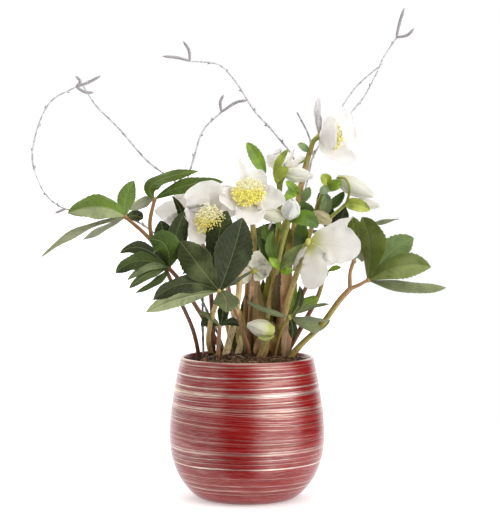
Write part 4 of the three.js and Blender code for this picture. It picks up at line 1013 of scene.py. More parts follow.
# A leaflet is its middle, tip, width, the way it faces, and what else sets it apart: on is the number of
# the arm that it stands on, if that isn't the end of the stalk.
LEAVES = {
    "leaf_left_high": {
        "stalk": [(-45, 2, 131), (-50, -6, 157), (-65, -18, 193), (-77, -22, 220), (-87, -24, 241)],
        "radii": (1.9, 1.9), "colours": ((0, DARK_BROWN), (0.4, RED_BROWN), (1, ARM_BROWN)),
        "slot": "leaf_green", "dye": MID_GREEN,
        "arms": [[(-97, -24, 251), (-111, -26, 263)], [(-89, -20, 258), (-85, -14, 279)]],
        "leaflets": [
            ((-134, -32, 273), (-163, -34, 267), 26, (0, -0.8, 0.6),
             dict(on=1, bright_half=1, bright=seen(160, 166, 126))),
            ((-111, -18, 280), (-104, -14, 296), 16, (-0.2, -1, 0), dict(on=1, dye=seen(98, 124, 48))),
            ((-153, -34, 251), (-187, -38, 227), 11, (0.1, 0.5, -0.8),
             dict(on=1, under=seen(150, 154, 120), fold=0.2)),
            ((-132, -21, 252), (-151, -20, 242), 8, (0, 0.7, -0.7), dict(on=1, under=seen(184, 186, 164))),
            ((-102, -18, 264), (-96, -12, 261), 11, (0, -1, 0.3), dict(on=1, dye=DARK_GREEN)),
            ((-96, -6, 276), (-109, 0, 269), 11, (0, -0.9, 0.4), dict(on=2, dye=seen(172, 174, 148))),
            ((-84, -12, 295), (-45, -5, 305), 17, (-0.3, -0.7, 0.7), dict(on=2, dye=seen(76, 96, 22))),
            ((-56, -16, 292), (-22, -12, 295), 15, (0.1, -0.8, 0.6), dict(on=2, dye=seen(66, 86, 18))),
        ],
    },
    "leaf_front": {
        "stalk": [(-33, 6, 130), (-36, -10, 148), (-33, -26, 168), (-27, -42, 188), (-25, -50, 197)],
        "radii": (2.4, 2.1), "colours": ((0, TAN), (1, TAN)),
        "slot": "leaf_dark", "dye": DARK_GREEN,
        "leaflets": [
            ((-13, -57, 230), (-4, -50, 263), 32, (0.1, -1, 0.2),
             dict(dye=seen(48, 54, 34), bright_half=1, bright=seen(62, 70, 52))),
            ((-26, -46, 241), (-18, -36, 269), 25, (-0.3, -1, 0.1)),
            ((-44, -59, 222), (-60, -53, 242), 27, (-0.3, -1, 0.4), dict(dye=OLIVE_GREEN)),
            ((-56, -60, 204), (-84, -62, 190), 21, (-0.1, -0.7, 0.7),
             dict(dye=seen(42, 48, 22), bright_half=-1, bright=seen(66, 74, 50))),
            ((-60, -51, 191), (-91, -52, 178), 15, (0.1, 1, 0.3), dict(under=seen(172, 180, 134))),
            ((-19, -59, 190), (-19, -65, 179), 22, (0.2, -0.9, 0.4), dict(dye=seen(96, 100, 68))),
            ((-10, -45, 206), (4, -40, 214), 9, (-0.5, -0.4, 0.8), dict(dye=GREY_GREEN)),
        ],
    },
    "leaf_left_low": {
        "stalk": [(-22, 12, 131), (-32, 0, 153), (-42, -14, 172), (-50, -24, 186), (-61, -34, 205),
                  (-71, -38, 217)],
        "radii": (2.2, 1.9), "colours": ((0, RED_BROWN), (1, RED_BROWN)),
        "slot": "leaf_dark", "dye": DARK_GREEN,
        "leaflets": [
            ((-73, -55, 238), (-88, -52, 244), 25, (-0.2, -1, 0.4),
             dict(cup=-0.35, dye=seen(60, 80, 24), teeth=0.4)),
            ((-75, -30, 242), (-79, -26, 260), 17, (0, -1, 0.2)),
            ((-66, -34, 243), (-57, -28, 268), 17, (0.4, -0.9, 0), dict(dye=seen(52, 60, 30))),
            ((-58, -14, 252), (-69, -14, 282), 9, (0.3, -0.9, 0)),
            ((-95, -34, 235), (-116, -28, 230), 13, (0, -0.8, 0.6), dict(dye=OLIVE_GREEN)),
            ((-97, -45, 224), (-119, -43, 213), 18, (0, -0.8, 0.6),
             dict(dye=seen(44, 54, 20), bright_half=-1, bright=seen(70, 86, 34))),
            ((-88, -49, 219), (-108, -51, 207), 9, (0, -0.7, 0.7), dict(dye=seen(104, 116, 78))),
            ((-88, -52, 213), (-106, -56, 200), 11, (0, -0.7, 0.7), dict(dye=seen(74, 88, 46))),
            ((-81, -43, 206), (-101, -44, 195), 8, (0, -0.7, 0.7), dict(dye=seen(92, 106, 60))),
        ],
    },
    "leaf_right": {
        "stalk": [(39, -6, 130), (49, -9, 143), (68, -13, 162), (86, -18, 187), (95, -20, 197)],
        "radii": (3, 2.5), "colours": ((0, TAN), (0.6, OLIVE), (1, PINK_BROWN)),
        "slot": "leaf_green", "dye": MID_GREEN,
        "arms": [[(95, -20, 212), (98, -19, 222)], [(102, -22, 200), (111, -24, 205)]],
        "leaflets": [
            ((112, -36, 238), (105, -30, 263), 28, (-0.5, -0.8, 0.2),
             dict(on=2, cup=-0.3, dye=seen(80, 92, 30), bright_half=1, bright=seen(112, 122, 56))),
            ((100, -14, 243), (97, -8, 263), 18, (-0.2, -1, 0.1), dict(on=1, dye=seen(98, 110, 44))),
            ((132, -20, 230), (154, -9, 243), 25, (0.1, -1, 0.3),
             dict(on=2, dye=seen(98, 116, 66), teeth=1.6)),
            ((140, -37, 219), (167, -41, 218), 26, (0, -0.8, 0.6),
             dict(on=2, bright_half=-1, dye=seen(106, 118, 54), bright=seen(134, 146, 84), teeth=1.3)),
            ((148, -26, 199), (183, -20, 198), 14, (0, -0.7, 0.7), dict(on=2, dye=seen(132, 140, 100))),
            ((127, -11, 225), (124, -6, 243), 10, (0.6, -0.8, 0.1), dict(on=2, dye=DARK_GREEN)),
        ],
    },
    "leaf_low_right": {
        "stalk": [(25, -14, 131), (29, -25, 152), (33, -33, 163), (39, -39, 172)],
        "radii": (1.7, 1.4), "colours": ((0, RED_BROWN), (1, OLIVE)),
        "slot": "leaf_dark", "dye": DARK_GREEN,
        "leaflets": [
            ((20, -40, 178), (0, -36, 186), 7, (0, -0.6, 0.8), dict(dye=seen(104, 110, 80))),
            ((53, -46, 181), (75, -46, 185), 8, (0, -0.5, 0.9), dict(dye=seen(84, 92, 58))),
            ((56, -41, 171), (75, -37, 169), 8, (0, -0.5, 0.9), dict(dye=seen(134, 140, 114))),
            ((58, -20, 163), (77, -8, 167), 14, (0, -0.8, 0.6), dict(dye=seen(124, 132, 96))),
            ((48, -31, 186), (48, -26, 200), 7, (-0.3, -1, 0)),
            ((42, -35, 162), (41, -31, 152), 8, (0, -1, 0.2)),
            ((56, -31, 185), (66, -28, 187), 12, (0, -0.8, 0.6), dict(dye=seen(112, 130, 48))),
        ],
    },
    "leaf_low_left": {
        "stalk": [(-27, -12, 131), (-26, -16, 149), (-25, -21, 162)],
        "radii": (2.2, 1.8), "colours": ((0, PINK_BROWN), (1, PINK_BROWN)),
        "slot": "leaf_dark", "dye": DARK_GREEN,
        "leaflets": [
            ((-35, -31, 173), (-45, -33, 175), 7, (0, -0.7, 0.7), dict(dye=GREY_GREEN)),
            ((-35, -18, 167), (-42, -15, 161), 10, (0, -0.9, 0.4)),
            ((-22, -24, 174), (-23, -22, 184), 10, (0, -1, 0)),
            ((-14, -24, 167), (-6, -22, 162), 8, (0, -0.8, 0.6)),
        ],
    },
    "leaf_back_right": {
        "stalk": [(28, 40, 132), (46, 52, 172), (66, 54, 210), (83, 50, 239)],
        "radii": (2.2, 1.8), "colours": ((0, RED_BROWN), (1, RED_BROWN)),
        "slot": "leaf_dark", "dye": DARK_GREEN,
        "rows": 36,
        "leaflets": [
            ((114, 50, 252), (145, 46, 259), 17, (0, 0.2, 1), dict(dye=BLUE_GREEN)),
            ((88, 36, 256), (93, 24, 271), 16, (-0.3, -1, 0.4)),
            ((102, 72, 232), (112, 90, 216), 24, (0.5, 0.4, 1)),
            ((80, 78, 242), (77, 100, 228), 25, (0, 0.6, 1)),
            ((64, 70, 247), (48, 84, 236), 22, (-0.4, 0.6, 1)),
            ((76, 40, 264), (68, 33, 284), 15, (-0.2, -1, 0.2)),
        ],
    },
    "leaf_back_left": {
        "stalk": [(-14, 32, 132), (-20, 42, 163), (-24, 48, 191), (-24, 50, 214)],
        "radii": (2.2, 1.8), "colours": ((0, TAN), (1, TAN)),
        "slot": "leaf_dark", "dye": DARK_GREEN,
        "rows": 36,
        "leaflets": [
            ((-22, 76, 228), (-25, 98, 212), 26, (0, 0.6, 1)),
            ((-44, 68, 226), (-58, 84, 212), 24, (-0.4, 0.5, 1)),
            ((-6, 66, 228), (6, 82, 214), 23, (0.4, 0.5, 1)),
            ((-44, 54, 219), (-62, 58, 205), 18, (-0.6, 0.2, 1)),
            ((-6, 54, 215), (11, 58, 201), 17, (0.5, 0.2, 1)),
            ((8, 50, 238), (32, 44, 252), 20, (0.1, -1, 0.3)),
            ((10, 51, 212), (34, 50, 220), 18, (0.1, -1, 0.4)),
        ],
    },
}

for number, (name, leaf) in enumerate(LEAVES.items()):
    hub = leaf["stalk"][-1]
    stalk = Form()
    stem(stalk, leaf["stalk"], leaf["radii"], leaf["colours"], number + 40)
    stalk.become(name + "_stalk", "stems", STEM_PAINT)
    green = Form()
    joints = [hub]
    end_colour = leaf["colours"][-1][1]
    arm_colours = ((0, end_colour), (1, end_colour))
    for arm in leaf.get("arms", ()):
        joints.append(arm[-1])
        stem(green, [hub, *arm], ARM_RADII, arm_colours, number + 50, rooted=False, sides=ARM_SIDES)
    for joint in joints:
        green.skin(lump(joint, (JOINT_RADIUS,) * 3, 8, 12, number), dye=end_colour)
    for count, (middle, tip, width, face, *more) in enumerate(leaf["leaflets"]):
        facts = {"dye": leaf["dye"], "rows": leaf.get("rows", LEAF_ROWS), **dict(*more)}
        spine = [joints[facts.pop("on", 0)], middle, tip]
        leaflet(green, spine, width, face, number * 20 + count, **facts)
    green.become(name + "_blade", leaf["slot"], LEAF_PAINT)


# ======== flowers ========
# Broad white petals on a green knob, with thin veins that fan out from the base and a wavy edge. An open
# flower has a ring of green nectaries on its knob and a tuft of cream and yellow stamens round its styles.
PETAL_ROWS = 40
KNOB_RADIUS = 3.2
GOLDEN_ANGLE = 2.39996  # in radians, between one stamen and the next
FILAMENT_RADIUS = 0.5
ANTHER_SIZE = np.array([0.85, 1.1, 1.5])
ANTHERS_FRESH = 0.8  # share of the anthers that aren't old
NECTARIES = 13
STYLES = 4
PETAL_WHITE = seen(230, 224, 217)
# PETAL_SHADED and PETAL_LIT are copies of the white painted darker and lighter: painted shade for petals
# that lie in shade, painted light for the top flower's
PETAL_SHADED = seen(216, 210, 203)
PETAL_LIT = seen(232, 227, 229)
STAMEN_PAINTED_GLOW = 0.09  # painted glow: the filaments and anthers give off a little light of their own, though they are no lamp, to lighten the tuft where it lies in shade
BUD_WHITE = seen(255, 250, 224)
PETAL_GREEN = seen(196, 204, 110)
PETAL_PAINTED_SHADE = (0.84, 0.80, 0.77)  # what the veins and the painted shade patches let through of its white: the veins are the petal's own, the patches stand in for shade in hollows and folds
KNOB_GREEN = seen(186, 184, 96)
FILAMENT_CREAM = seen(252, 246, 206)
ANTHER_YELLOW = seen(255, 243, 112)
ANTHER_OLD = seen(222, 204, 96)
ANTHER_PALE = seen(255, 236, 112)
NECTARY_GREEN = seen(196, 202, 96)


def white_petal():
    paint = Finish("white petal")
    _, _, share = paint.plan()
    dye = paint.dye()
    wander = paint.noise(110.0, 2.0) * 0.9
    fan = (share * 8.5 + wander).math("FRACT")
    vein = paint.band(abs(fan - 0.5), 0.02, 0.16, 1.0, 0.0)
    cloud = paint.noise(70.0, 3.0)
    fine = paint.noise(1500.0, 2.0)
    patch = paint.noise(26.0, 2.0)
    # the cloud and patch terms are painted shade; the vein term is the petal's own darker lines
    deep = vein * 0.2 + paint.band(cloud, 0.35, 0.7, 0.0, 0.25) + paint.band(patch, 0.42, 0.66, 0.0, 0.35)
    tone = paint.mix(deep, dye, PETAL_PAINTED_SHADE, "MULTIPLY")
    return paint.surface(
        Base_Color=tone,
        Roughness=paint.band(fine, 0.3, 0.7, 0.50, 0.62),
        Normal=paint.bump(vein * -0.6 + cloud * 1.2 + fine * 0.2, 0.5, 0.0005),
        Subsurface_Weight=0.85, Subsurface_Radius=(1.0, 0.97, 0.94), Subsurface_Scale=0.003,
    )


def stamen_skin():
    paint = Finish("stamen")
    dye = paint.dye()
    pollen = paint.noise(1800.0, 3.0)
    tone = paint.mix(paint.band(pollen, 0.35, 0.7, 0.0, 0.3), dye, seen(214, 196, 60))
    rough = paint.band(pollen, 0.3, 0.7, 0.6, 0.8)
    return paint.surface(
        Base_Color=tone, Roughness=rough, Normal=paint.bump(pollen, 0.5, 0.0003),
        Subsurface_Weight=0.9, Subsurface_Radius=(1.0, 0.95, 0.6), Subsurface_Scale=0.005,
        # painted glow: the stamens give off a little light of their own colour
        Emission_Color=tone, Emission_Strength=STAMEN_PAINTED_GLOW,
    )


PETAL_PAINT = white_petal()
STAMEN_PAINT = stamen_skin()


def petal(form, centre, axis, tip, width, seed, belly=2.0, cup=0.24, ruffle=1.0, green=0.13, point=0.5,
          face=None, bend=(0, 0, 0), dye=PETAL_WHITE):
    """One petal from the knob at the centre to its tip. face is where its inside looks, if not along the
    axis, bend moves its middle aside, and a large point draws its tip out."""
    face = axis if face is None else face
    rng = np.random.default_rng(seed)
    start = rng.uniform(0, 6.3, 6)
    centre, tip = np.asarray(centre, float), np.asarray(tip, float)
    facing, along = unit(face), tip - centre
    outward = unit(facing - unit(along) * (facing @ unit(along))) * -belly
    spine = [centre + 0.05 * along, centre + 0.5 * along + outward + np.asarray(bend, float), tip]
    shape = outline(0.62, point, 0.1)

    def half(t):
        wave = 0.045 * np.sin(t * 13 + start[0]) + 0.025 * np.sin(t * 29 + start[4])
        return width / 2 * shape(t) * (1 + wave * np.clip(t * 2, 0, 1))

    def lift(t, s, wide):
        wave = 0.09 * np.sin(t * 10 + start[1] + 1.9 * np.sign(s))
        wave = wave + 0.06 * np.sin(t * 23 + start[2] + np.sign(s))
        hollow = -0.07 * np.cos(s * 2.6) * np.sin(t * math.pi)
        fold = 0.035 * np.sin(s * 5.2 + t * 3 + start[3]) * np.sin(t * math.pi)
        veins = 0.07 * np.cos(s * 24 + start[5]) * (1 - s**2) * np.sin(t * math.pi)
        return (cup * s**2 + ruffle * wave * np.abs(s) ** 2.5 + hollow + fold) * wide + veins

    def thick(t, s):
        return 0.5 + 0.7 * np.exp(-t / 0.08) - 0.22 * s**4

    def tint(t, s):
        share = np.clip(green * 3 * np.exp(-t / 0.16) * (1 - 0.5 * np.abs(s)), 0, 1)[..., None]
        deep = np.clip(green * 2.5 * np.exp(-t / 0.09), 0, 0.8)[..., None]
        return between(between(dye, PETAL_GREEN, share), KNOB_GREEN, deep)

    blade(form, spine, face, half, lift, thick, tint, tint, PETAL_ROWS)


def tuft(name, centre, axis, radius, height, count, seed, lean, small, yellow):
    """Filaments and anthers, nectaries at their foot and the styles in their middle. lean draws the anthers
    to one side."""
    rng = np.random.default_rng(seed)
    form = Form()
    facing = unit(axis)
    across, beside = crosswise(facing, (0.1, 0.2, 1.0))
    centre = np.asarray(centre, float)
    lean = np.asarray(lean, float)

    def spoke(angle):
        return math.cos(angle) * across + math.sin(angle) * beside

    for number in range(count):
        share = math.sqrt((number + 0.5) / count)
        way = spoke(number * GOLDEN_ANGLE + rng.uniform(-0.2, 0.2))
        foot = centre + facing * 2.6 + way * (1.2 + 1.6 * share)
        reach = radius * share * rng.uniform(0.85, 1.05)
        rise = height * rng.uniform(0.78, 1.0) * (1 - 0.25 * share**2)
        head = centre + facing * rise + way * reach + lean * rng.uniform(0.5, 1.1)
        middle = (foot + head) / 2 + way * reach * 0.18 + facing * 0.8
        points, _ = line([foot, middle, head], 2.8)
        form.skin(tube(points, FILAMENT_RADIUS, 4), dye=FILAMENT_CREAM)
        ahead = unit(head - middle + rng.normal(size=3) * 1.5)
        flat, edge = crosswise(ahead, rng.normal(size=3))
        size = ANTHER_SIZE * rng.uniform(0.85, 1.15) * small
        pale = np.clip(way[2] * 1.4 + rng.uniform(0, 0.4), 0, 1) * 0.8
        tone = yellow if rng.uniform() < ANTHERS_FRESH else ANTHER_OLD
        anther = lump(head, size, 5, 6, number, np.stack([-edge, flat, ahead]))
        form.skin(anther, dye=between(tone, FILAMENT_CREAM, pale))
    for number in range(NECTARIES):
        way = spoke(number * 2 * math.pi / NECTARIES)
        foot = centre + facing * 2.4 + way * 2.6
        points, _ = line([foot, foot + facing * 2.2 + way * 1.4, foot + facing * 4.2 + way * 1.6], 1.0)
        funnel = np.interp(np.arange(len(points)), [0, 2, len(points) - 1], [0.4, 0.85, 0.9])
        form.skin(tube(points, funnel, 8), dye=NECTARY_GREEN)
    for number in range(STYLES):
        way = spoke(number * 2 * math.pi / STYLES + 0.4)
        foot = centre + facing * 2.6 + way * 0.9
        middle = foot + facing * height * 0.4 + way * 0.6
        points, _ = line([foot, middle, foot + facing * height * 0.85 + way * 1.4], 1.2)
        form.skin(tube(points, np.linspace(0.9, 0.3, len(points)), 8), dye=PETAL_GREEN)
    form.become(name + "_stamens", "stamens", STAMEN_PAINT)


# A tuft is its radius, height and number of stamens, anthers are their size and colour, and a petal is its
# tip, width and what else sets it apart.
FLOWERS = {
    "flower_top": {
        "centre": FLOWER_TOP, "axis": (0.95, -0.3, 0.05), "tuft": (13, 23, 300),
        "anthers": (0.7, seen(255, 246, 160)),
        "petals": [
            ((63, 5, 381), 15, dict(point=0.5, face=(0.88, -0.5, 0), ruffle=0.6, dye=PETAL_LIT)),
            ((79, 16, 375), 27, dict(point=0.35, face=(0.4, -0.9, 0), dye=PETAL_LIT)),
            ((100, 12, 349), 41, dict(point=0.33, dye=PETAL_LIT)),
            ((82, -21, 341), 31, dict(belly=5, point=0.3, ruffle=0.5, dye=PETAL_LIT)),
            ((101, -18, 314), 25, dict(point=0.6, face=(0.4, -0.75, 0.5), bend=(-3, 0, -3), dye=PETAL_LIT)),
        ],
    },
    "flower_front": {
        "centre": FLOWER_FRONT, "axis": (0, -0.85, 0.5), "tuft": (15, 12, 480), "lean": (0.5, 0, 1),
        "petals": [
            ((-9, -16, 319), 11, dict(point=0.7)),
            ((14, -22, 306), 25, dict(point=0.6)),
            ((35, -34, 278), 26, dict(point=0.6)),
            ((4, -50, 257), 27, dict(point=0.35, ruffle=1.6)),
            ((-25, -38, 278), 25, dict(point=0.55)),
        ],
    },
    "flower_left": {
        "centre": FLOWER_LEFT, "axis": (-0.2, -0.95, 0.05), "tuft": (14.5, 20, 350), "lean": (-1, -2, -5),
        "anthers": (0.75, ANTHER_PALE),
        "petals": [
            ((-43, -33, 295), 39, dict(point=0.33)),
            ((-9, -24, 289), 32, dict(point=0.45)),
            ((-51, -38, 241), 24, dict(face=(0.1, -1, 0.1))),
            ((-20, -34, 240), 22),
            ((-58, -28, 267), 20),
        ],
    },
    "flower_back": {
        "centre": FLOWER_BACK, "axis": (-0.5, 0.8, -0.2),
        "petals": [
            ((-86, 6, 268), 22, dict(point=0.7)),
            ((-73, 2, 242), 24, dict(point=0.6)),
            ((-56, 0, 291), 22),
            ((-38, 8, 278), 22),
            ((-44, 6, 250), 22),
        ],
    },
    "flower_nodding": {
        "centre": FLOWER_NODDING, "axis": (0.75, 0.2, -0.6), "tuft": (7, 16, 60),
        "petals": [
            ((96.5, -26, 263), 14,
             dict(belly=1, face=(0.4, 0.8, -0.6), point=0.8, cup=0.1, green=0.5, dye=PETAL_SHADED)),
            ((103, -40, 233), 35,
             dict(belly=3, face=(0.1, 1, -0.25), point=0.5, cup=-0.05, green=0.6, bend=(0, 0, 2),
                  dye=PETAL_SHADED)),
            ((84, 4, 221), 26, dict(belly=4)),
            ((54, -42, 199), 26,
             dict(belly=3, face=(0.35, 0.9, 0), point=0.45, cup=-0.05, green=0.5, bend=(8, 0, 0),
                  dye=PETAL_SHADED)),
            ((42, -17, 213), 18, dict(belly=3, point=0.6, dye=PETAL_SHADED)),
        ],
    },
    "flower_small": {
        "centre": FLOWER_SMALL, "axis": (0.1, -0.9, 0.3),
        "petals": [
            ((-18, -10, 206), 21, dict(dye=BUD_WHITE)),
            ((23, -21, 219), 20, dict(green=0.06, cup=0.2, point=0.6, dye=BUD_WHITE)),
            ((11, -21, 232), 18, dict(green=0.06, cup=0.2, point=0.5, dye=BUD_WHITE)),
            ((16, -21, 206), 14, dict(green=0.1, cup=0.3, point=0.4, dye=BUD_WHITE)),
            ((-1, -13, 225), 15, dict(green=0.12, cup=0.3, dye=BUD_WHITE)),
        ],
    },
    "flower_upper": {
        "centre": FLOWER_UPPER, "axis": (0.1, 0.5, 0.85),
        "petals": [
            ((19, -6, 320), 17),
            ((30, 6, 326), 18),
            ((44, 10, 325), 18),
            ((54, 2, 317), 16),
        ],
    },
}

for number, (name, flower) in enumerate(FLOWERS.items()):
    centre, axis = flower["centre"], flower["axis"]
    if "tuft" in flower:
        anthers = flower.get("anthers", (0.88, ANTHER_YELLOW))
        tuft(name, centre, axis, *flower["tuft"], number, flower.get("lean", (0, 0, 0)), *anthers)
    white = Form()
    white.skin(lump(centre, (KNOB_RADIUS,) * 3, 10, 14, number), dye=KNOB_GREEN)
    for count, (tip, width, *more) in enumerate(flower["petals"]):
        petal(white, centre, axis, tip, width, number * 10 + count, **dict(*more))
    white.become(name + "_petals", "petals", PETAL_PAINT)


# ======== buds ========
# Closed flowers: five petals wrapped round each other, each with one edge tucked under the next, and a core
# that fills them. Some are creamy, the others white with a green base.
BUD_PETALS = 5
BUD_TURN = 0.78  # half of what a petal wraps, in radians, at its widest
BUD_TAN = seen(214, 196, 152)


def wrapped_bud(name, base, tip, radius, dye, green, seed):
    form = Form()
    base, tip = np.asarray(base, float), np.asarray(tip, float)
    length = np.linalg.norm(tip - base)
    axis = (tip - base) / length
    across, beside = crosswise(axis, (0.3, 0.2, 1.0))
    t = np.linspace(0.02, 1, 30)[:, None]
    s = np.linspace(-1, 1, 15)[None]
    swell = np.interp(t, [0, 0.1, 0.38, 0.68, 0.92, 1], [0.3, 0.62, 1, 0.86, 0.42, 0.1])
    swell = np.convolve(np.pad(swell[:, 0], 3, "edge"), np.ones(7) / 7, "valid")[:, None]
    for number in range(BUD_PETALS):
        middle = number * 2 * math.pi / BUD_PETALS + seed
        spread = BUD_TURN * (1.0 - 0.15 * t)
        angle = middle - s * spread
        wave = 0.02 * np.sin(t * 11 + number * 2) * np.abs(s)
        out = radius * swell * (0.93 + 0.075 * s + wave)
        spoke = np.cos(angle)[..., None] * across + np.sin(angle)[..., None] * beside
        run = (length * t * (1 - 0.03 * s**2))[..., None]
        body = (0.28 - 0.12 * s**4 + 0 * t)[..., None]
        upper = base + axis * run + spoke * (out[..., None] + body)
        lower = base + axis * run + spoke * (out[..., None] - body)
        plan = np.stack(np.broadcast_arrays(t * length, s * spread * radius, s), -1)
        share = np.clip(green * np.exp(-t / 0.22) * (1 - 0.3 * np.abs(s)), 0, 1)[..., None]
        tint = between(dye, PETAL_GREEN, share)
        form.skin(round_edge(lower, upper), round_edge(plan, plan), round_edge(tint, tint))
    core = np.linspace(0, 1, 16)
    points = base + axis * (core * length * 0.94)[:, None]
    full = radius * 0.8 * np.interp(core, [0, 0.1, 0.4, 0.7, 1], [0.3, 0.6, 1, 0.84, 0.2])
    form.skin(tube(points, full, 16), dye=dye)
    form.become(name, "petals", PETAL_PAINT)


BUDS = (  # name, base, tip, radius, colour and how green its base is
    ("bud_upper", (34, -9, 303), (61, -10, 300), 7.5, BUD_WHITE, 1.0),
    ("bud_round", (39, -32, 263), (41, -46, 279), 9.2, seen(255, 255, 240), 0.6),
    ("bud_cream", (35, -29, 263), (11, -36, 267), 6.8, seen(255, 246, 206), 0.35),
    ("bud_nodding", (82, -10, 298), (117, -8, 282), 9, BUD_WHITE, 1.0),
    ("bud_right", (93, -6, 275), (123, -8, 273), 6, BUD_WHITE, 0.7),
    ("bud_right_cream", (78, 1, 257), (61, -2, 267), 6.4, BUD_TAN, 0.4),
    ("bud_low", (25, -33, 159), (0, -36, 165), 8.8, seen(255, 246, 212), 3.0),
)
for seed, (name, base, tip, radius, dye, green) in enumerate(BUDS):
    wrapped_bud(name, base, tip, radius, dye, green, seed)


# ======== twigs ========
# Bare shoots with smooth silver-grey bark, pushed into the soil. Small pointed buds sit on them by turns to
# the left and right, and the tips of most of them carry closed catkins covered in scales.
TWIG_RADII = (1.2, 0.6)
BRANCH_RADII = (0.9, 0.7)
TWIG_SIDES = 10
TWIG_STEP = 1.1
TWIG_BUD_SPACING = 21.0
TWIG_BUD_LOWEST = 150  # no bud is set lower
TWIG_BUD_PROFILE = np.array([0.5, 0.75, 0.85, 0.82, 0.7, 0.5, 0.3, 0.08])  # share of the twig's radius
BARK_DARKENS_BELOW = 250  # from this height up the bark is silver, and below it the bark goes darker brown
CATKIN_RADII = (1.3, 1.5)
CATKIN_SIDES = 18
CATKIN_STEP = 0.45
BARK_SILVER = seen(212, 208, 212)
BARK_SHADE = seen(154, 148, 152)
BARK_LOW = seen(66, 50, 38)  # where a twig stands among the stalks
CATKIN_GREY = seen(168, 162, 162)


def silver_bark():
    paint = Finish("silver bark")
    dye = paint.dye()
    cloud = paint.noise(240.0, 4.0, 0.6)
    fleck = paint.noise(900.0, 3.0)
    tone = paint.mix(paint.band(cloud, 0.38, 0.62), dye, BARK_SHADE)
    tone = paint.mix(paint.band(fleck, 0.58, 0.68, 0.0, 0.6), tone, seen(225, 222, 222))
    rough = paint.band(fleck, 0.3, 0.7, 0.55, 0.8)
    return paint.surface(Base_Color=tone, Roughness=rough, Normal=paint.bump(cloud + fleck, 0.6, 0.0004))


BARK_PAINT = silver_bark()


def shoot(form, route, radii, seed):
    """A length of twig with its buds."""
    rng = np.random.default_rng(seed)
    points, run = line(route, TWIG_STEP)
    radius = np.interp(run / run[-1], [0, 1], radii) * (1 + 0.08 * ripple(points, 3.5, seed))
    ahead, across, beside = carried(points)
    spots = np.arange(TWIG_BUD_SPACING * 0.6, run[-1] - 4, TWIG_BUD_SPACING)
    high = [spot for spot in spots if points[np.searchsorted(run, spot)][2] > TWIG_BUD_LOWEST]
    spots = [spot + rng.uniform(-3, 3) for spot in high]
    for spot in spots:
        radius = radius * (1 + 0.35 * np.exp(-(((run - spot) / 1.1) ** 2)))
    low = np.clip((BARK_DARKENS_BELOW - points[:, 2:]) / 60, 0, 1)
    form.skin(tube(points, radius, TWIG_SIDES), dye=between(BARK_SILVER, BARK_LOW, low)[:, None])
    for number, spot in enumerate(spots):
        i = int(np.searchsorted(run, spot))
        turn = number * math.pi + seed
        way = unit(across[i] * math.cos(turn) + beside[i] * math.sin(turn))
        start = points[i] + way * radius[i] * 0.6
        length = rng.uniform(2.4, 3.4)
        rise = np.linspace(0, length, len(TWIG_BUD_PROFILE))[:, None]
        bud_points = start + unit(ahead[i] * 1.5 + way) * rise
        form.skin(tube(bud_points, radius[i] * TWIG_BUD_PROFILE, 8), dye=BARK_SHADE)


def catkin(form, route):
    """A closed catkin: scales in two crossing spirals round its core."""
    points, run = line(route, CATKIN_STEP)
    share = run / run[-1]
    angle = np.linspace(0, 2 * math.pi, CATKIN_SIDES, endpoint=False)
    body = np.interp(share, [0, 0.12, 0.5, 0.85, 1], [0.55, 0.9, 1, 0.85, 0.25])
    radius = np.interp(share, [0, 1], CATKIN_RADII) * body
    turn = run[:, None] * 1.9
    scales = np.abs(np.sin(1.5 * angle + turn)) * np.abs(np.sin(1.5 * angle - turn))
    rings = tube(points, radius[:, None] * (0.86 + 0.3 * scales), CATKIN_SIDES)
    form.skin(rings, dye=between(BARK_SHADE, CATKIN_GREY, np.clip(scales * 1.6, 0, 1)[..., None]))


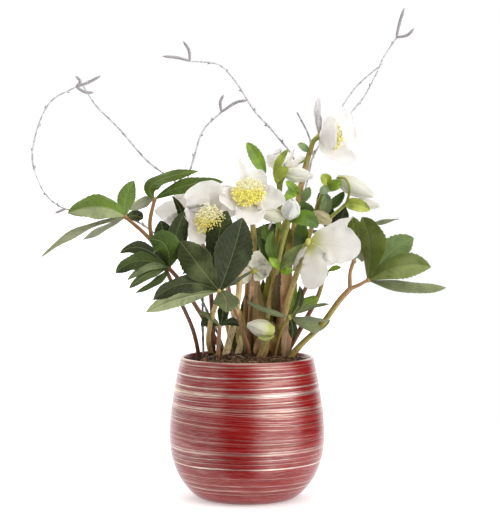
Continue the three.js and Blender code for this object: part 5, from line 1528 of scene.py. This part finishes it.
TWIGS = {  # route, branches and catkins, each as a route
    "twig_left": (
        [(-22, 40, 133), (-36, 48, 166), (-64, 44, 219), (-103, 22, 257), (-150, 2, 268), (-169, 0, 270),
         (-183, 0, 279), (-193, 0, 294), (-199, 0, 317), (-194, 4, 346), (-182, 8, 370), (-159, 8, 383)],
        [],
        [[(-159, 8, 383), (-155, 8, 388), (-159, 6, 393)],
         [(-159, 8, 383), (-148, 8, 387), (-136, 6, 393)],
         [(-159, 8, 383), (-150, 10, 378), (-143, 12, 378)],
         [(-168, 0, 270), (-173, -2, 268), (-178, -3, 266)]],
    ),
    "twig_forked": (
        [(-41, 16, 132), (-42, 22, 166), (-42, 26, 211), (-48, 24, 254), (-60, 20, 287), (-93, 16, 314),
         (-120, 12, 345), (-141, 14, 366), (-153, 16, 384)],
        [[(-59, 20, 285), (-50, 21, 317), (-41, 22, 343), (-23, 22, 361)]],
        [[(-24, 22, 360), (-25, 21, 369), (-22, 19, 376)],
         [(-24, 22, 360), (-10, 20, 369), (1, 17, 371)]],
    ),
    "twig_arched": (
        [(3, 26, 132), (0, 30, 164), (6, 34, 211), (26, 36, 263), (46, 31, 309), (26, 26, 340),
         (7, 22, 361), (-7, 18, 383), (-18, 16, 397), (-27, 14, 404), (-54, 8, 407)],
        [],
        [[(-53, 8, 407), (-54, 7, 417), (-59, 5, 425)], [(-53, 8, 407), (-65, 6, 410), (-78, 3, 411)]],
    ),
    "twig_right": (
        [(34, 26, 132), (37, 32, 173), (46, 36, 239), (58, 34, 300), (64, 31, 322), (84, 27, 345),
         (108, 22, 372), (121, 18, 396), (127, 16, 410), (140, 12, 430)],
        [[(63, 31, 317), (58, 28, 338), (47, 28, 360)]],
        [[(139, 12, 429), (142, 12, 443), (146, 10, 456)],
         [(139, 12, 429), (149, 10, 431), (155, 8, 437)]],
    ),
    "twig_thin": (
        [(14, 38, 132), (26, 40, 190), (44, 44, 250), (60, 42, 312), (78, 36, 345), (102, 30, 383),
         (123, 22, 402)],
        [], [],
    ),
}

for seed, (name, (route, branches, catkins)) in enumerate(TWIGS.items()):
    form = Form()
    shoot(form, planted(route), TWIG_RADII, seed)
    for number, branch in enumerate(branches):
        shoot(form, branch, BRANCH_RADII, seed + 10 + number)
    for spike in catkins:
        catkin(form, spike)
    form.become(name, "bark", BARK_PAINT)
